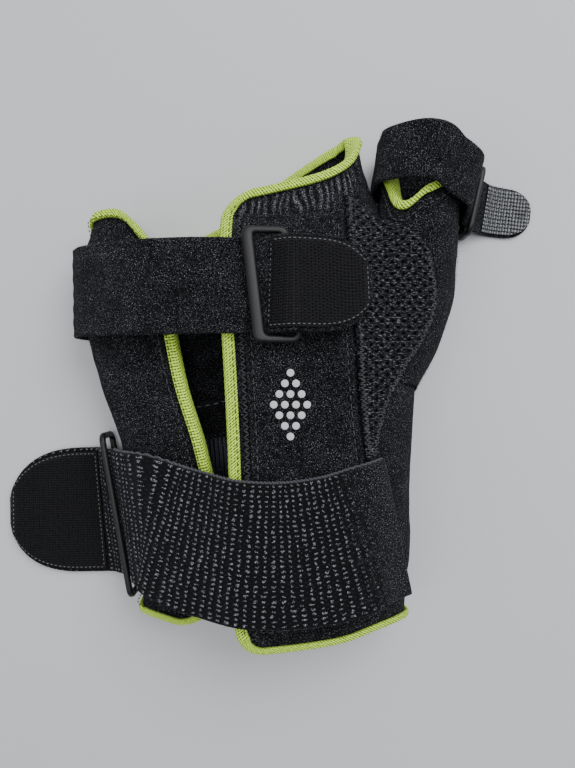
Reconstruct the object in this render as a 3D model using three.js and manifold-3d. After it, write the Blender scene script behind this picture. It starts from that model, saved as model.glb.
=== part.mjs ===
// A thumb spica splint lying on its back: a soft wrap for the wrist and palm with a slit down its front,
// a sheath for the thumb, a leaf of spacer mesh between them, a bound edge, and three straps, each led
// through a moulded ring. Millimetres, +X across the hand towards the thumb, +Y towards the fingers, +Z up.
import * as THREE from "three";
import { mergeVertices } from "three/addons/utils/BufferGeometryUtils.js";
import Module from "manifold-3d";

const wasm = await Module();
wasm.setup();

// Driving dimensions
const sleeveLength = 188; // cuff edge to the longest point of the finger mouth
const sleeveWidth = 142; // scale of every place across the hand, about the width at the thumb's root
const sleeveHeight = 36; // top of the front layer above the surface it lies on
const wallThickness = 3; // padded laminate of the wrap and the sheath
const bindingThickness = 0.9;
const bindingReach = 4.6; // how far the binding tape folds over each face
const slitCornerRadius = 13; // rounded corners of the left flap
const panelCornerRadius = 9; // rounded corners of the right flap
const gap = 0.35; // left between pieces that touch
const overlayGap = 0.6; // left under a panel laid on a curved face
const meshThickness = 1.3;
const pocketThickness = 1.2;
const palmStrapWidth = 33;
const palmStrapThickness = 1.8;
const palmTabLength = 27; // past the ring
const forearmStrapWidth = 50;
const forearmStrapThickness = 2.2;
const forearmTabLength = 47; // past the ring
const thumbStrapWidth = 20;
const thumbStrapThickness = 1.6;
const thumbTabLength = 26.5; // past the ring
const hookThickness = 1;
const hookMargin = 2.6; // stitched border left round a hook patch
const palmHookSetback = 3; // from each ring to its strap's hook patch
const forearmHookSetback = 11;
const thumbHookSetback = 9;
const palmKeeperLength = 17; // from the ring's bar to where its keeper is sewn down
const ringBar = 2.4; // thickness of a ring's bars
const ringClearance = 2.2; // free length in a ring past the strap's width
const ringSlot = 10; // free height inside a ring
const keeperThickness = 1;
const keeperShare = 0.62; // width of a ring's keeper as a share of its strap's

const halfWidth = sleeveWidth / 2;
const yOf = (at) => (at - 0.5) * sleeveLength;

// Cross-sections of the wrap. at is a share of sleeveLength from the cuff, the places across are shares
// of halfWidth, and the heights are shares of sleeveHeight. flap is the left flap's height at the slit.
const wrapSections = [
  { at: 0.0, left: -0.746, right: 0.6, top: 0.9, lift: 0.1, flap: 0.6, slitLeft: -0.44, slitRight: -0.235 },
  { at: 0.18, left: -0.796, right: 0.64, top: 1.0, lift: 0.0, flap: 0.7, slitLeft: -0.335, slitRight: -0.258 },
  { at: 0.37, left: -0.872, right: 0.648, top: 1.0, lift: 0.0, flap: 0.72, slitLeft: -0.425, slitRight: -0.272 },
  { at: 0.5, left: -0.985, right: 0.672, top: 1.0, lift: 0.0, flap: 0.73, slitLeft: -0.528, slitRight: -0.288 },
  { at: 0.62, left: -1.073, right: 0.676, top: 1.0, lift: 0.0, flap: 0.74, slitLeft: -0.59, slitRight: -0.306 },
  { at: 0.72, left: -1.086, right: 0.628, top: 0.96, lift: 0.02, flap: 0.72, slitLeft: -0.645, slitRight: -0.318 },
  { at: 0.82, left: -1.03, right: 0.512, top: 0.87, lift: 0.07, flap: 0.68, slitLeft: -0.72, slitRight: -0.31 },
  { at: 0.91, left: -0.93, right: 0.412, top: 0.77, lift: 0.14, flap: 0.66, slitLeft: -0.72, slitRight: -0.26 },
  { at: 1.0, left: -0.79, right: 0.36, top: 0.66, lift: 0.24, flap: 0.64, slitLeft: -0.66, slitRight: -0.2 },
];
// Where the wrap ends. round is a share of the way round it, from the left flap's edge under the hand to
// the right flap's, and mouth and cuff are shares of sleeveLength.
const wrapEnds = [
  { round: 0.0, mouth: 0.815, cuff: 0.02 },
  { round: 0.05, mouth: 0.838, cuff: 0.03 },
  { round: 0.1, mouth: 0.836, cuff: 0.045 },
  { round: 0.17, mouth: 0.795, cuff: 0.062 },
  { round: 0.25, mouth: 0.778, cuff: 0.055 },
  { round: 0.34, mouth: 0.808, cuff: 0.045 },
  { round: 0.46, mouth: 0.9, cuff: 0.04 },
  { round: 0.57, mouth: 0.965, cuff: 0.04 },
  { round: 0.66, mouth: 0.995, cuff: 0.045 },
  { round: 0.71, mouth: 0.985, cuff: 0.052 },
  { round: 0.76, mouth: 0.935, cuff: 0.045 },
  { round: 0.82, mouth: 0.9, cuff: 0.025 },
  { round: 0.91, mouth: 0.872, cuff: 0.01 },
  { round: 1.0, mouth: 0.85, cuff: 0.0 },
];
// Cross-sections of the thumb's sheath, with the same columns.
const sheathSections = [
  { at: 0.43, left: 0.1, right: 0.6, top: 0.76, lift: 0.04 },
  { at: 0.5, left: 0.16, right: 0.7, top: 0.86, lift: 0.0 },
  { at: 0.57, left: 0.24, right: 0.79, top: 0.9, lift: 0.0 },
  { at: 0.65, left: 0.32, right: 0.86, top: 0.91, lift: 0.0 },
  { at: 0.73, left: 0.385, right: 0.89, top: 0.9, lift: 0.01 },
  { at: 0.8, left: 0.44, right: 0.893, top: 0.88, lift: 0.04 },
  { at: 0.87, left: 0.49, right: 0.905, top: 0.86, lift: 0.095 },
  { at: 0.94, left: 0.52, right: 0.945, top: 0.81, lift: 0.145 },
  { at: 1.0, left: 0.54, right: 0.93, top: 0.75, lift: 0.19 },
];
// The sheath's mouth, notched in front. round is a share of the way round from the middle of the front
// towards the wrap, under the thumb and back.
const sheathMouth = [
  { round: 0.0, mouth: 0.868 },
  { round: 0.05, mouth: 0.84 },
  { round: 0.1, mouth: 0.846 },
  { round: 0.17, mouth: 0.892 },
  { round: 0.26, mouth: 0.935 },
  { round: 0.4, mouth: 0.972 },
  { round: 0.6, mouth: 0.99 },
  { round: 0.73, mouth: 0.965 },
  { round: 0.85, mouth: 0.92 },
  { round: 1.0, mouth: 0.868 },
];
// The leaf of mesh between the pocket and the thumb: its sides as shares of halfWidth, and in leafTop
// its upper end, both against the share of sleeveLength.
const leafSides = [
  { at: 0.36, left: 0.385, right: 0.43 },
  { at: 0.42, left: 0.365, right: 0.455 },
  { at: 0.5, left: 0.345, right: 0.5 },
  { at: 0.57, left: 0.335, right: 0.57 },
  { at: 0.64, left: 0.32, right: 0.66 },
  { at: 0.7, left: 0.308, right: 0.72 },
  { at: 0.76, left: 0.298, right: 0.735 },
  { at: 0.86, left: 0.288, right: 0.7 },
];
const leafTop = [
  { across: 0.0, at: 0.86 },
  { across: 0.3, at: 0.83 },
  { across: 0.6, at: 0.802 },
  { across: 0.85, at: 0.775 },
  { across: 1.0, at: 0.745 },
];

// Catmull-Rom value of one column of a table whose rows are sorted by the column named by.
function lookUp(rows, key, value, by = "at") {
  const last = rows.length - 1;
  let i = 0;
  while (i < last - 1 && value > rows[i + 1][by]) i += 1;
  const [a, b] = [rows[i], rows[i + 1]];
  const before = rows[Math.max(i - 1, 0)];
  const after = rows[Math.min(i + 2, last)];
  const t = THREE.MathUtils.clamp((value - a[by]) / (b[by] - a[by]), 0, 1);
  const span = b[by] - a[by];
  const slope = (p, q) => ((q[key] - p[key]) / Math.max(q[by] - p[by], 1e-9)) * span;
  const [ma, mb] = [slope(before, b), slope(a, after)];
  const [t2, t3] = [t * t, t * t * t];
  return (
    a[key] * (2 * t3 - 3 * t2 + 1) + ma * (t3 - 2 * t2 + t) + b[key] * (3 * t2 - 2 * t3) + mb * (t3 - t2)
  );
}

const power = (value, exponent) => Math.sign(value) * Math.abs(value) ** exponent;
const smooth = (t) => t * t * (3 - 2 * t);
const clampShare = (t) => THREE.MathUtils.clamp(t, 0, 1);

// Roundness of a section's sides, its upper face and its under face
const leastSide = 2.4;
const mostSide = 5; // a flat section has rounder ends, so that its wall can fold
const upperExponent = 2.2;
const underExponent = 3.2;
const underSink = 1.5; // the under face is drawn this much lower and cut flat where it rests
const foldShare = 0.46; // height of the side folds within the section
const sectionSteps = 160;

// A section's measures at height y along the hand, in millimetres.
function measures(rows, y) {
  const at = y / sleeveLength + 0.5;
  const part = (key) => lookUp(rows, key, at);
  const left = part("left") * halfWidth;
  const right = part("right") * halfWidth;
  const top = part("top") * sleeveHeight;
  const lift = Math.max(part("lift"), 0) * sleeveHeight;
  const fold = lift + (top - lift) * foldShare;
  const half = (right - left) / 2;
  const side = THREE.MathUtils.clamp((2 * half) / (top - lift), leastSide, mostSide);
  return { middle: (left + right) / 2, half, top, lift, fold, side, at };
}

// Adds the slit's two edges and the lower left flap to the wrap's measures.
function wrapMeasures(y) {
  const m = measures(wrapSections, y);
  m.slitLeft = lookUp(wrapSections, "slitLeft", m.at) * halfWidth;
  m.slitRight = lookUp(wrapSections, "slitRight", m.at) * halfWidth;
  m.flap = lookUp(wrapSections, "flap", m.at);
  return m;
}

// Height of the upper face at x, before the sides round down.
function crownAt(m, x) {
  if (m.flap === undefined) return m.top;
  const towardsFlap = smooth(clampShare((m.slitRight - x) / (m.slitRight - m.slitLeft)));
  return m.top * (1 - (1 - m.flap) * towardsFlap);
}

// A point of a section at an angle: 90 degrees is the top, 180 the left fold, 270 the under face.
function sectionPoint(m, angle, outset) {
  const [c, s] = [Math.cos(angle), Math.sin(angle)];
  const x = m.middle + (m.half + outset) * power(c, 2 / m.side);
  if (s >= 0) return [x, m.fold + (crownAt(m, x) + outset - m.fold) * s ** (2 / upperExponent)];
  const depth = m.fold - m.lift + underSink + outset;
  return [x, Math.max(m.lift - outset, m.fold - depth * (-s) ** (2 / underExponent))];
}

const angleOf = (m, x) =>
  Math.acos(power(THREE.MathUtils.clamp((x - m.middle) / m.half, -0.999, 0.999), m.side / 2));

// The section as a polyline with its length so far at each point.
function polyline(m, from, to, outset = 0) {
  const points = [];
  let length = 0;
  for (let k = 0; k <= sectionSteps; k += 1) {
    const [x, z] = sectionPoint(m, from + ((to - from) * k) / sectionSteps, outset);
    if (k) length += Math.hypot(x - points[k - 1].x, z - points[k - 1].z);
    points.push({ x, z, length });
  }
  return points;
}

const wrapLines = new Map();
function wrapLine(y) {
  if (!wrapLines.has(y)) {
    const m = wrapMeasures(y);
    wrapLines.set(y, polyline(m, angleOf(m, m.slitLeft), 2 * Math.PI + angleOf(m, m.slitRight)));
  }
  return wrapLines.get(y);
}

function alongLine(line, length) {
  const i = THREE.MathUtils.clamp(
    line.findIndex((p) => p.length >= length),
    1,
    line.length - 1,
  );
  const [a, b] = [line[i - 1], line[i]];
  const t = (length - a.length) / Math.max(b.length - a.length, 1e-9);
  return [a.x + (b.x - a.x) * t, a.z + (b.z - a.z) * t];
}

const lengthOf = (line) => line[line.length - 1].length;

// A point of the wrap's outer face, p millimetres round from the left flap's edge.
function wrapPoint(p, y) {
  const [x, z] = alongLine(wrapLine(y), p);
  return new THREE.Vector3(x, y, z);
}

const probe = 0.6; // step for slopes
function wrapNormal(p, y) {
  const total = lengthOf(wrapLine(y));
  const [p0, p1] = [Math.max(p - probe, 0), Math.min(p + probe, total)];
  const round = wrapPoint(p1, y).sub(wrapPoint(p0, y));
  const share = p / total;
  const ahead = wrapPoint(share * lengthOf(wrapLine(y + probe)), y + probe);
  const behind = wrapPoint(share * lengthOf(wrapLine(y - probe)), y - probe);
  return ahead.sub(behind).cross(round).normalize();
}

// The sheath's outer face, round being a share of the way round from the middle of its front.
function sheathPoint(round, y, outset = 0) {
  const m = measures(sheathSections, y);
  const [x, z] = sectionPoint(m, Math.PI / 2 + 2 * Math.PI * round, outset);
  return new THREE.Vector3(x, y, z);
}

// Height of the upper face of the wrap or the sheath over a place, and of both blended.
function upperAt(m, x) {
  const across = Math.abs(x - m.middle) / m.half;
  if (across >= 1) return m.fold;
  return m.fold + (crownAt(m, x) - m.fold) * (1 - across ** m.side) ** (1 / upperExponent);
}
const blendWidth = 3.6; // softness of the valley between the wrap and the sheath
function frontHeight(x, y) {
  const wrap = upperAt(wrapMeasures(y), x);
  const sheath = upperAt(measures(sheathSections, y), x);
  return (wrap + sheath + Math.hypot(wrap - sheath, blendWidth)) / 2;
}

// Solids from points
function signedVolume(position, index) {
  let sum = 0;
  const [a, b, c] = [new THREE.Vector3(), new THREE.Vector3(), new THREE.Vector3()];
  for (let i = 0; i < index.length; i += 3) {
    a.fromBufferAttribute(position, index[i]);
    b.fromBufferAttribute(position, index[i + 1]);
    c.fromBufferAttribute(position, index[i + 2]);
    sum += a.dot(b.cross(c));
  }
  return sum;
}

// Merges equal points, drops triangles that collapsed and turns the faces outwards.
function closedGeometry(points, faces) {
  const raw = new THREE.BufferGeometry();
  raw.setAttribute("position", new THREE.Float32BufferAttribute(points.flatMap((p) => [p.x, p.y, p.z]), 3));
  raw.setIndex(faces);
  const merged = mergeVertices(raw, 1e-3);
  const kept = [];
  for (let i = 0; i < merged.index.count; i += 3) {
    const t = [0, 1, 2].map((k) => merged.index.getX(i + k));
    if (t[0] !== t[1] && t[1] !== t[2] && t[0] !== t[2]) kept.push(...t);
  }
  if (signedVolume(merged.attributes.position, kept) < 0) kept.reverse();
  merged.setIndex(kept);
  return merged;
}

const quad = (a, b, c, d) => [a, b, c, a, c, d];

// A wall between two grids of points, closed round its border.
function wallGeometry(outer, inner) {
  const [columns, rows] = [outer.length, outer[0].length];
  const points = [...outer.flat(), ...inner.flat()];
  const out = (i, j) => i * rows + j;
  const into = (i, j) => columns * rows + i * rows + j;
  const faces = [];
  for (let i = 0; i + 1 < columns; i += 1)
    for (let j = 0; j + 1 < rows; j += 1) {
      faces.push(...quad(out(i, j), out(i + 1, j), out(i + 1, j + 1), out(i, j + 1)));
      faces.push(...quad(into(i + 1, j), into(i, j), into(i, j + 1), into(i + 1, j + 1)));
    }
  for (const [i, turn] of [[0, 1], [columns - 1, 0]])
    for (let j = 0; j + 1 < rows; j += 1) {
      const [a, b] = turn ? [j, j + 1] : [j + 1, j];
      faces.push(...quad(out(i, a), out(i, b), into(i, b), into(i, a)));
    }
  for (const [j, turn] of [[0, 0], [rows - 1, 1]])
    for (let i = 0; i + 1 < columns; i += 1) {
      const [a, b] = turn ? [i, i + 1] : [i + 1, i];
      faces.push(...quad(out(a, j), out(b, j), into(b, j), into(a, j)));
    }
  return closedGeometry(points, faces);
}

// A body swept through stations, each a ring of points, closed on itself or capped.
function sweepGeometry(stations, closed) {
  const size = stations[0].length;
  const points = stations.flat();
  const faces = [];
  const count = closed ? stations.length : stations.length - 1;
  for (let i = 0; i < count; i += 1) {
    const next = (i + 1) % stations.length;
    for (let k = 0; k < size; k += 1) {
      const l = (k + 1) % size;
      faces.push(...quad(i * size + k, next * size + k, next * size + l, i * size + l));
    }
  }
  if (!closed) {
    const end = (stations.length - 1) * size;
    const flat = stations[0].map((p) => new THREE.Vector2(p.u, p.v));
    for (const [a, b, c] of THREE.ShapeUtils.triangulateShape(flat, []))
      faces.push(a, b, c, end + a, end + c, end + b);
  }
  return closedGeometry(points, faces);
}

const toManifold = (geometry) =>
  new wasm.Manifold(
    new wasm.Mesh({
      numProp: 3,
      vertProperties: geometry.attributes.position.array,
      triVerts: new Uint32Array(geometry.index.array),
    }),
  );

function fromManifold(solid) {
  const mesh = solid.getMesh();
  const geometry = new THREE.BufferGeometry();
  geometry.setAttribute("position", new THREE.Float32BufferAttribute(mesh.vertProperties, 3));
  geometry.setIndex([...mesh.triVerts]);
  return geometry;
}

// The largest separate body of a solid, because a cut can leave slivers.
const mainBody = (solid) =>
  solid.decompose().reduce((best, body) => (body.volume() > best.volume() ? body : best));

const part = new THREE.Group();
function addPiece(name, geometry, color, roughness, metalness = 0) {
  const mesh = new THREE.Mesh(geometry, new THREE.MeshStandardMaterial({ color, roughness, metalness }));
  mesh.name = name;
  part.add(mesh);
}
const plush = ["#17171b", 0.95];
const spacerMesh = ["#1c1c20", 0.8];
const elastic = ["#131315", 0.85];
const hookNylon = ["#0c0c0d", 0.7];
const limeTape = ["#b4dc3c", 0.8];
const moulded = ["#2b2b2e", 0.4];

// The wrap
const wrapColumns = 37;
const wrapRows = 18;

// Bends the corner of a sheet round: p and q are distances in from its two edges.
function roundedCorner(p, q, radius) {
  if (p >= radius || q >= radius) return [p, q];
  const [a, b] = [1 - p / radius, 1 - q / radius];
  const reach = Math.max(a, b);
  if (reach < 1e-6) return [p, q];
  const turn = a > b ? ((b / a) * Math.PI) / 4 : Math.PI / 2 - ((a / b) * Math.PI) / 4;
  return [radius * (1 - reach * Math.cos(turn)), radius * (1 - reach * Math.sin(turn))];
}

const spread = (k, count, total, border) => {
  if (k === 0) return 0;
  if (k === count) return total;
  return border + ((total - 2 * border) * (k - 1)) / (count - 2);
};

// Where grid point (i, j) of the wrap lies: p round it and y along it.
function wrapPlace(i, j) {
  const share = i / wrapColumns;
  const cuff = yOf(lookUp(wrapEnds, "cuff", share, "round"));
  const mouth = yOf(lookUp(wrapEnds, "mouth", share, "round"));
  let y = cuff + spread(j, wrapRows, mouth - cuff, bindingReach);
  const total = lengthOf(wrapLine(y));
  let p = spread(i, wrapColumns, total, bindingReach);
  const nearMouth = mouth - y < y - cuff;
  const end = nearMouth ? mouth : cuff;
  const radius = p < total / 2 ? slitCornerRadius : panelCornerRadius;
  const [inward, along] = roundedCorner(Math.min(p, total - p), Math.abs(end - y), radius);
  y = nearMouth ? end - along : end + along;
  const length = lengthOf(wrapLine(y));
  p = p < total / 2 ? inward : length - inward - ((total - p - Math.min(p, total - p)) * length) / total;
  return [THREE.MathUtils.clamp(p, 0, length), y];
}

function wrapGrid(depth) {
  const grid = [];
  for (let i = 0; i <= wrapColumns; i += 1) {
    grid.push([]);
    for (let j = 0; j <= wrapRows; j += 1) {
      const [p, y] = wrapPlace(i, j);
      const point = wrapPoint(p, y).addScaledVector(wrapNormal(p, y), -depth);
      if (depth === 0 && Math.abs(point.z) < 1e-6) point.z = 0;
      grid[i].push(point);
    }
  }
  return grid;
}

// A closed body with the outer shape of a stack of sections, grown or shrunk by outset.
function stackBody(rows, from, to, outset) {
  const [steps, sides] = [20, 44];
  const stations = [];
  for (let k = 0; k <= steps; k += 1) {
    const y = from + ((to - from) * k) / steps;
    const m = measures(rows, y);
    if (rows === wrapSections) Object.assign(m, wrapMeasures(y));
    const ring = [];
    for (let n = 0; n < sides; n += 1) {
      const [x, z] = sectionPoint(m, (2 * Math.PI * (n + 0.5)) / sides, outset);
      const point = new THREE.Vector3(x, y, z);
      [point.u, point.v] = [x, z];
      ring.push(point);
    }
    stations.push(ring);
  }
  return toManifold(sweepGeometry(stations, false));
}

const wrapOuter = wrapGrid(0);
const wrapInner = wrapGrid(wallThickness);
const sheathRoot = yOf(sheathSections[0].at);
const sheathTip = yOf(1.08);
const thumbHollow = stackBody(sheathSections, sheathRoot, sheathTip, -wallThickness);
const wrapWall = toManifold(wallGeometry(wrapOuter, wrapInner)).subtract(thumbHollow);

// The thumb's sheath, trimmed where it runs into the wrap
const sheathSides = 26;
const sheathRows = 13;
function sheathGrid(depth) {
  const grid = [];
  for (let i = 0; i < sheathSides; i += 1) {
    const round = i / sheathSides;
    const mouth = yOf(lookUp(sheathMouth, "mouth", round, "round"));
    grid.push([]);
    for (let j = 0; j <= sheathRows; j += 1) {
      const y = sheathRoot + spread(j, sheathRows, mouth - sheathRoot, bindingReach);
      grid[i].push(sheathPoint(round, y, -depth));
    }
  }
  return grid;
}
const sheathOuter = sheathGrid(0);
const sheathInner = sheathGrid(wallThickness);
const sheathStations = sheathOuter.map((column, i) => [...column, ...[...sheathInner[i]].reverse()]);
const wrapBulk = stackBody(wrapSections, yOf(-0.05), yOf(1.05), gap * 1.6);
const sheathWall = toManifold(sweepGeometry(sheathStations, true)).subtract(wrapBulk);

// Binding tape folded over an edge. edge and inner are places of the wall at its edge and bindingReach in:
// the points of its two faces and the direction from the inner face to the outer. grow swells the tape.
function bindingStation(edge, inner, grow = 0) {
  const outward = edge.outer.clone().sub(inner.outer);
  outward.addScaledVector(edge.normal, -outward.dot(edge.normal)).normalize();
  const above = (place, height, out) =>
    place.outer.clone().addScaledVector(place.normal, height).addScaledVector(outward, out);
  const below = (place, height, out) =>
    place.inner.clone().addScaledVector(place.normal, -height).addScaledVector(outward, out);
  const near = gap * 1.4 - grow;
  const under = gap * 2.2 - grow; // more room inside, where the wall folds tightly
  const [far, lowest] = [near + bindingThickness + 2 * grow, under + bindingThickness + 2 * grow];
  const shoulder = bindingThickness * 0.45;
  const nose = edge.outer.clone().add(edge.inner).multiplyScalar(0.5);
  return [
    above(inner, near, 0),
    above(edge, near, near),
    below(edge, under, near),
    below(inner, under, 0),
    below(inner, lowest, 0),
    below(edge, lowest - shoulder, near),
    nose.addScaledVector(outward, far + shoulder),
    above(edge, far - shoulder, near),
    above(inner, far, 0),
  ];
}

const between = (outer, inner) => ({ outer, inner, normal: outer.clone().sub(inner).normalize() });
const wrapAt = (i, j) => between(wrapOuter[i][j], wrapInner[i][j]);
function wrapTape(grow) {
  const stations = [];
  const add = (i, j, k, l) => stations.push(bindingStation(wrapAt(i, j), wrapAt(k, l), grow));
  const [c, r] = [wrapColumns, wrapRows];
  for (let i = 1; i < c; i += 1) add(i, r, i, r - 1);
  add(c, r, c - 1, r - 1);
  for (let j = r - 1; j > 0; j -= 1) add(c, j, c - 1, j);
  add(c, 0, c - 1, 1);
  for (let i = c - 1; i > 0; i -= 1) add(i, 0, i, 1);
  add(0, 0, 1, 1);
  for (let j = 1; j < r; j += 1) add(0, j, 1, j);
  add(0, r, 1, r - 1);
  return sweepGeometry(stations, true);
}
const trimGrow = 0.25; // the wall is trimmed this much clear of its binding
addPiece("wrap", fromManifold(mainBody(wrapWall.subtract(toManifold(wrapTape(trimGrow))))), ...plush);
addPiece("wrap_binding", wrapTape(0), ...limeTape);

const sheathAt = (i, j) => between(sheathOuter[i][j], sheathInner[i][j]);
const sheathTape = (grow) =>
  sweepGeometry(
    sheathOuter.map((_, i) => bindingStation(sheathAt(i, sheathRows), sheathAt(i, sheathRows - 1), grow)),
    true,
  );
const sheathBody = sheathWall.subtract(toManifold(sheathTape(trimGrow)));
addPiece("thumb_sheath", fromManifold(mainBody(sheathBody)), ...plush);
addPiece("thumb_binding", sheathTape(0), ...limeTape);

// Panels laid on the front
function overlay(columns, rows, place, thickness) {
  const lower = [];
  const upper = [];
  for (let i = 0; i <= columns; i += 1) {
    lower.push([]);
    upper.push([]);
    for (let j = 0; j <= rows; j += 1) {
      const [x, y] = place(i / columns, j / rows);
      const z = frontHeight(x, y) + overlayGap;
      lower[i].push(new THREE.Vector3(x, y, z));
      upper[i].push(new THREE.Vector3(x, y, z + thickness));
    }
  }
  return wallGeometry(upper, lower);
}

const leafFrom = leafSides[0].at;
const leafTo = leafSides[leafSides.length - 1].at;
const meshPlace = (across, along) => {
  const at = leafFrom + (leafTo - leafFrom) * along;
  const [left, right] = [lookUp(leafSides, "left", at), lookUp(leafSides, "right", at)];
  const end = lookUp(leafTop, "at", across, "across");
  const x = (left + (right - left) * across) * halfWidth;
  return [x, yOf(leafFrom + (end - leafFrom) * along)];
};
addPiece("mesh_panel", overlay(8, 13, meshPlace, meshThickness), ...spacerMesh);

const pocketInset = bindingReach + 2.2; // clear of the binding and its stitching
const pocketSeam = 1.2; // between the pocket and the mesh
const pocketFrom = 0.085;
const pocketTo = 0.815;
const pocketPlace = (across, along) => {
  const at = pocketFrom + (pocketTo - pocketFrom) * along;
  const left = lookUp(wrapSections, "slitRight", at) * halfWidth + pocketInset;
  const leafEdge = lookUp(leafSides, "left", Math.max(at, leafFrom)) * halfWidth;
  return [left + (leafEdge - pocketSeam - left) * across, yOf(at)];
};
addPiece("stay_pocket", overlay(6, 14, pocketPlace, pocketThickness), ...plush);

// Straps: a ribbon through stations, each a centre, a direction across and a share of the full width
function ribbonStations(centres, across, widths, thickness) {
  return centres.map((centre, k) => {
    const before = centres[Math.max(k - 1, 0)];
    const after = centres[Math.min(k + 1, centres.length - 1)];
    const along = after.clone().sub(before).normalize();
    const side = across[k].clone().addScaledVector(along, -across[k].dot(along)).normalize();
    const up = new THREE.Vector3().crossVectors(along, side).normalize();
    const half = widths[k] / 2;
    const bevel = Math.min(thickness * 0.3, half * 0.4);
    const corners = [
      [-half, -thickness / 2 + bevel],
      [-half + bevel, -thickness / 2],
      [half - bevel, -thickness / 2],
      [half, -thickness / 2 + bevel],
      [half, thickness / 2 - bevel],
      [half - bevel, thickness / 2],
      [-half + bevel, thickness / 2],
      [-half, thickness / 2 - bevel],
    ];
    return corners.map(([u, v]) => {
      const point = centre.clone().addScaledVector(side, u).addScaledVector(up, v);
      [point.u, point.v] = [u, v];
      return point;
    });
  });
}

// Evenly spaced stations on a smooth route, each with the direction across the strap.
function routeStations(route, count) {
  const curve = new THREE.CatmullRomCurve3(route.map((r) => r.centre), false, "centripetal");
  const sides = new THREE.CatmullRomCurve3(route.map((r) => r.across), false, "centripetal");
  const centres = curve.getSpacedPoints(count);
  const across = centres.map((_, k) => sides.getPoint(curve.getUtoTmapping(k / count)).normalize());
  return { centres, across, length: curve.getLength() };
}

// Width along a strap whose end is rounded over roundLength.
function endWidths(count, length, width, roundLength) {
  const widths = [];
  for (let k = 0; k <= count; k += 1) {
    const left = length * (1 - k / count);
    const share = clampShare(1 - left / roundLength);
    widths.push(width * Math.max((1 - share ** 2.6) ** (1 / 2.2), 0.22));
  }
  return widths;
}

const tabRoundShare = 0.62; // rounded length of a tab as a share of its strap's width

function strapPiece(name, route, width, thickness, count, finish) {
  const { centres, across, length } = routeStations(route, count);
  const widths = endWidths(count, length, width, width * tabRoundShare);
  addPiece(name, sweepGeometry(ribbonStations(centres, across, widths, thickness), false), ...finish);
  return { centres, across, length };
}

// A hook patch on a strap's tab: the strap's own stations again, raised and narrowed.
function hookPatch(name, route, width, thickness, tabLength) {
  const fine = 120;
  const { centres, across, length } = routeStations(route, fine);
  const widths = endWidths(fine, length, width, width * tabRoundShare);
  const [from, to] = [length - tabLength, length - hookMargin];
  const steps = 12;
  const picked = [];
  for (let k = 0; k <= steps; k += 1) {
    const index = Math.round(((from + ((to - from) * k) / steps) / length) * fine);
    const along = centres[Math.min(index + 1, fine)].clone().sub(centres[index - 1]).normalize();
    const up = new THREE.Vector3().crossVectors(along, across[index]).normalize();
    if (up.z < 0) up.negate();
    const lift = (thickness + hookThickness) / 2 + gap + 0.1;
    const inset = widths[index] - 2 * hookMargin;
    picked.push({ centre: centres[index].clone().addScaledVector(up, lift), side: across[index], inset });
  }
  const stations = ribbonStations(
    picked.map((s) => s.centre), picked.map((s) => s.side), picked.map((s) => Math.max(s.inset, 3)), hookThickness);
  addPiece(name, sweepGeometry(stations, false), ...hookNylon);
}

// A ring: a rounded rectangle of bar. long and short are unit directions, and slot its free height.
function ringGeometry(centre, long, short, freeLength, slot) {
  const [halfLong, halfShort] = [(freeLength + ringBar) / 2, (slot + ringBar) / 2];
  const corner = 2.6;
  const stations = [];
  const facing = new THREE.Vector3().crossVectors(long, short);
  for (const [sx, sy, start] of [[1, 1, 0], [-1, 1, 90], [-1, -1, 180], [1, -1, 270]])
    for (const degrees of [0, 30, 60, 90]) {
      const turn = THREE.MathUtils.degToRad(start + degrees);
      const out = long.clone().multiplyScalar(Math.cos(turn)).addScaledVector(short, Math.sin(turn));
      const middle = centre
        .clone()
        .addScaledVector(long, sx * (halfLong - corner))
        .addScaledVector(short, sy * (halfShort - corner))
        .addScaledVector(out, corner);
      const ring = [];
      for (let k = 0; k < 8; k += 1) {
        const around = ((k + 0.5) * Math.PI) / 4;
        ring.push(
          middle
            .clone()
            .addScaledVector(out, barRadius * Math.cos(around))
            .addScaledVector(facing, barRadius * Math.sin(around)),
        );
      }
      stations.push(ring);
    }
  return sweepGeometry(stations, true);
}

// A keeper: webbing folded round a bar, its two ends together at foot. side is the bar's direction.
function keeperGeometry(bar, foot, side, width) {
  const towards = foot.clone().sub(bar).normalize();
  const up = new THREE.Vector3().crossVectors(side, towards).normalize();
  const radius = barRadius + gap;
  const reach = foot.distanceTo(bar);
  const outline = [];
  const steps = 8;
  for (const [r, order] of [[radius, 1], [radius + keeperThickness, -1]]) {
    const arc = [];
    for (let k = 0; k <= steps; k += 1) {
      const turn = Math.PI / 2 + (Math.PI * k) / steps;
      arc.push([r * Math.cos(turn), r * Math.sin(turn)]);
    }
    if (order < 0) arc.reverse();
    const pinch = r === radius ? gap / 2 : gap / 2 + keeperThickness;
    const neck = Math.min(radius * 2.2, reach * 0.7);
    if (order > 0) outline.push([reach, pinch], [neck, pinch], ...arc, [neck, -pinch], [reach, -pinch]);
    else outline.push([reach, -pinch], [neck, -pinch], ...arc, [neck, pinch], [reach, pinch]);
  }
  outline.reverse();
  const stations = [-width / 2, width / 2].map((offset) =>
    outline.map(([a, b]) => {
      const point = bar.clone().addScaledVector(side, offset).addScaledVector(towards, a);
      point.addScaledVector(up, b);
      [point.u, point.v] = [a, b];
      return point;
    }),
  );
  return sweepGeometry(stations, false);
}

const point = (x, y, z) => new THREE.Vector3(x, y, z);
const degrees = THREE.MathUtils.degToRad;
const leaning = (angle) => point(Math.sin(degrees(angle)), Math.cos(degrees(angle)), 0);
const barRadius = ringBar / 2 / Math.cos(Math.PI / 8);
const keeperRadius = barRadius + gap + keeperThickness;
const keeperStack = 2 * keeperThickness + gap;
const ringReach = (ringSlot + ringBar) / 2;

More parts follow.
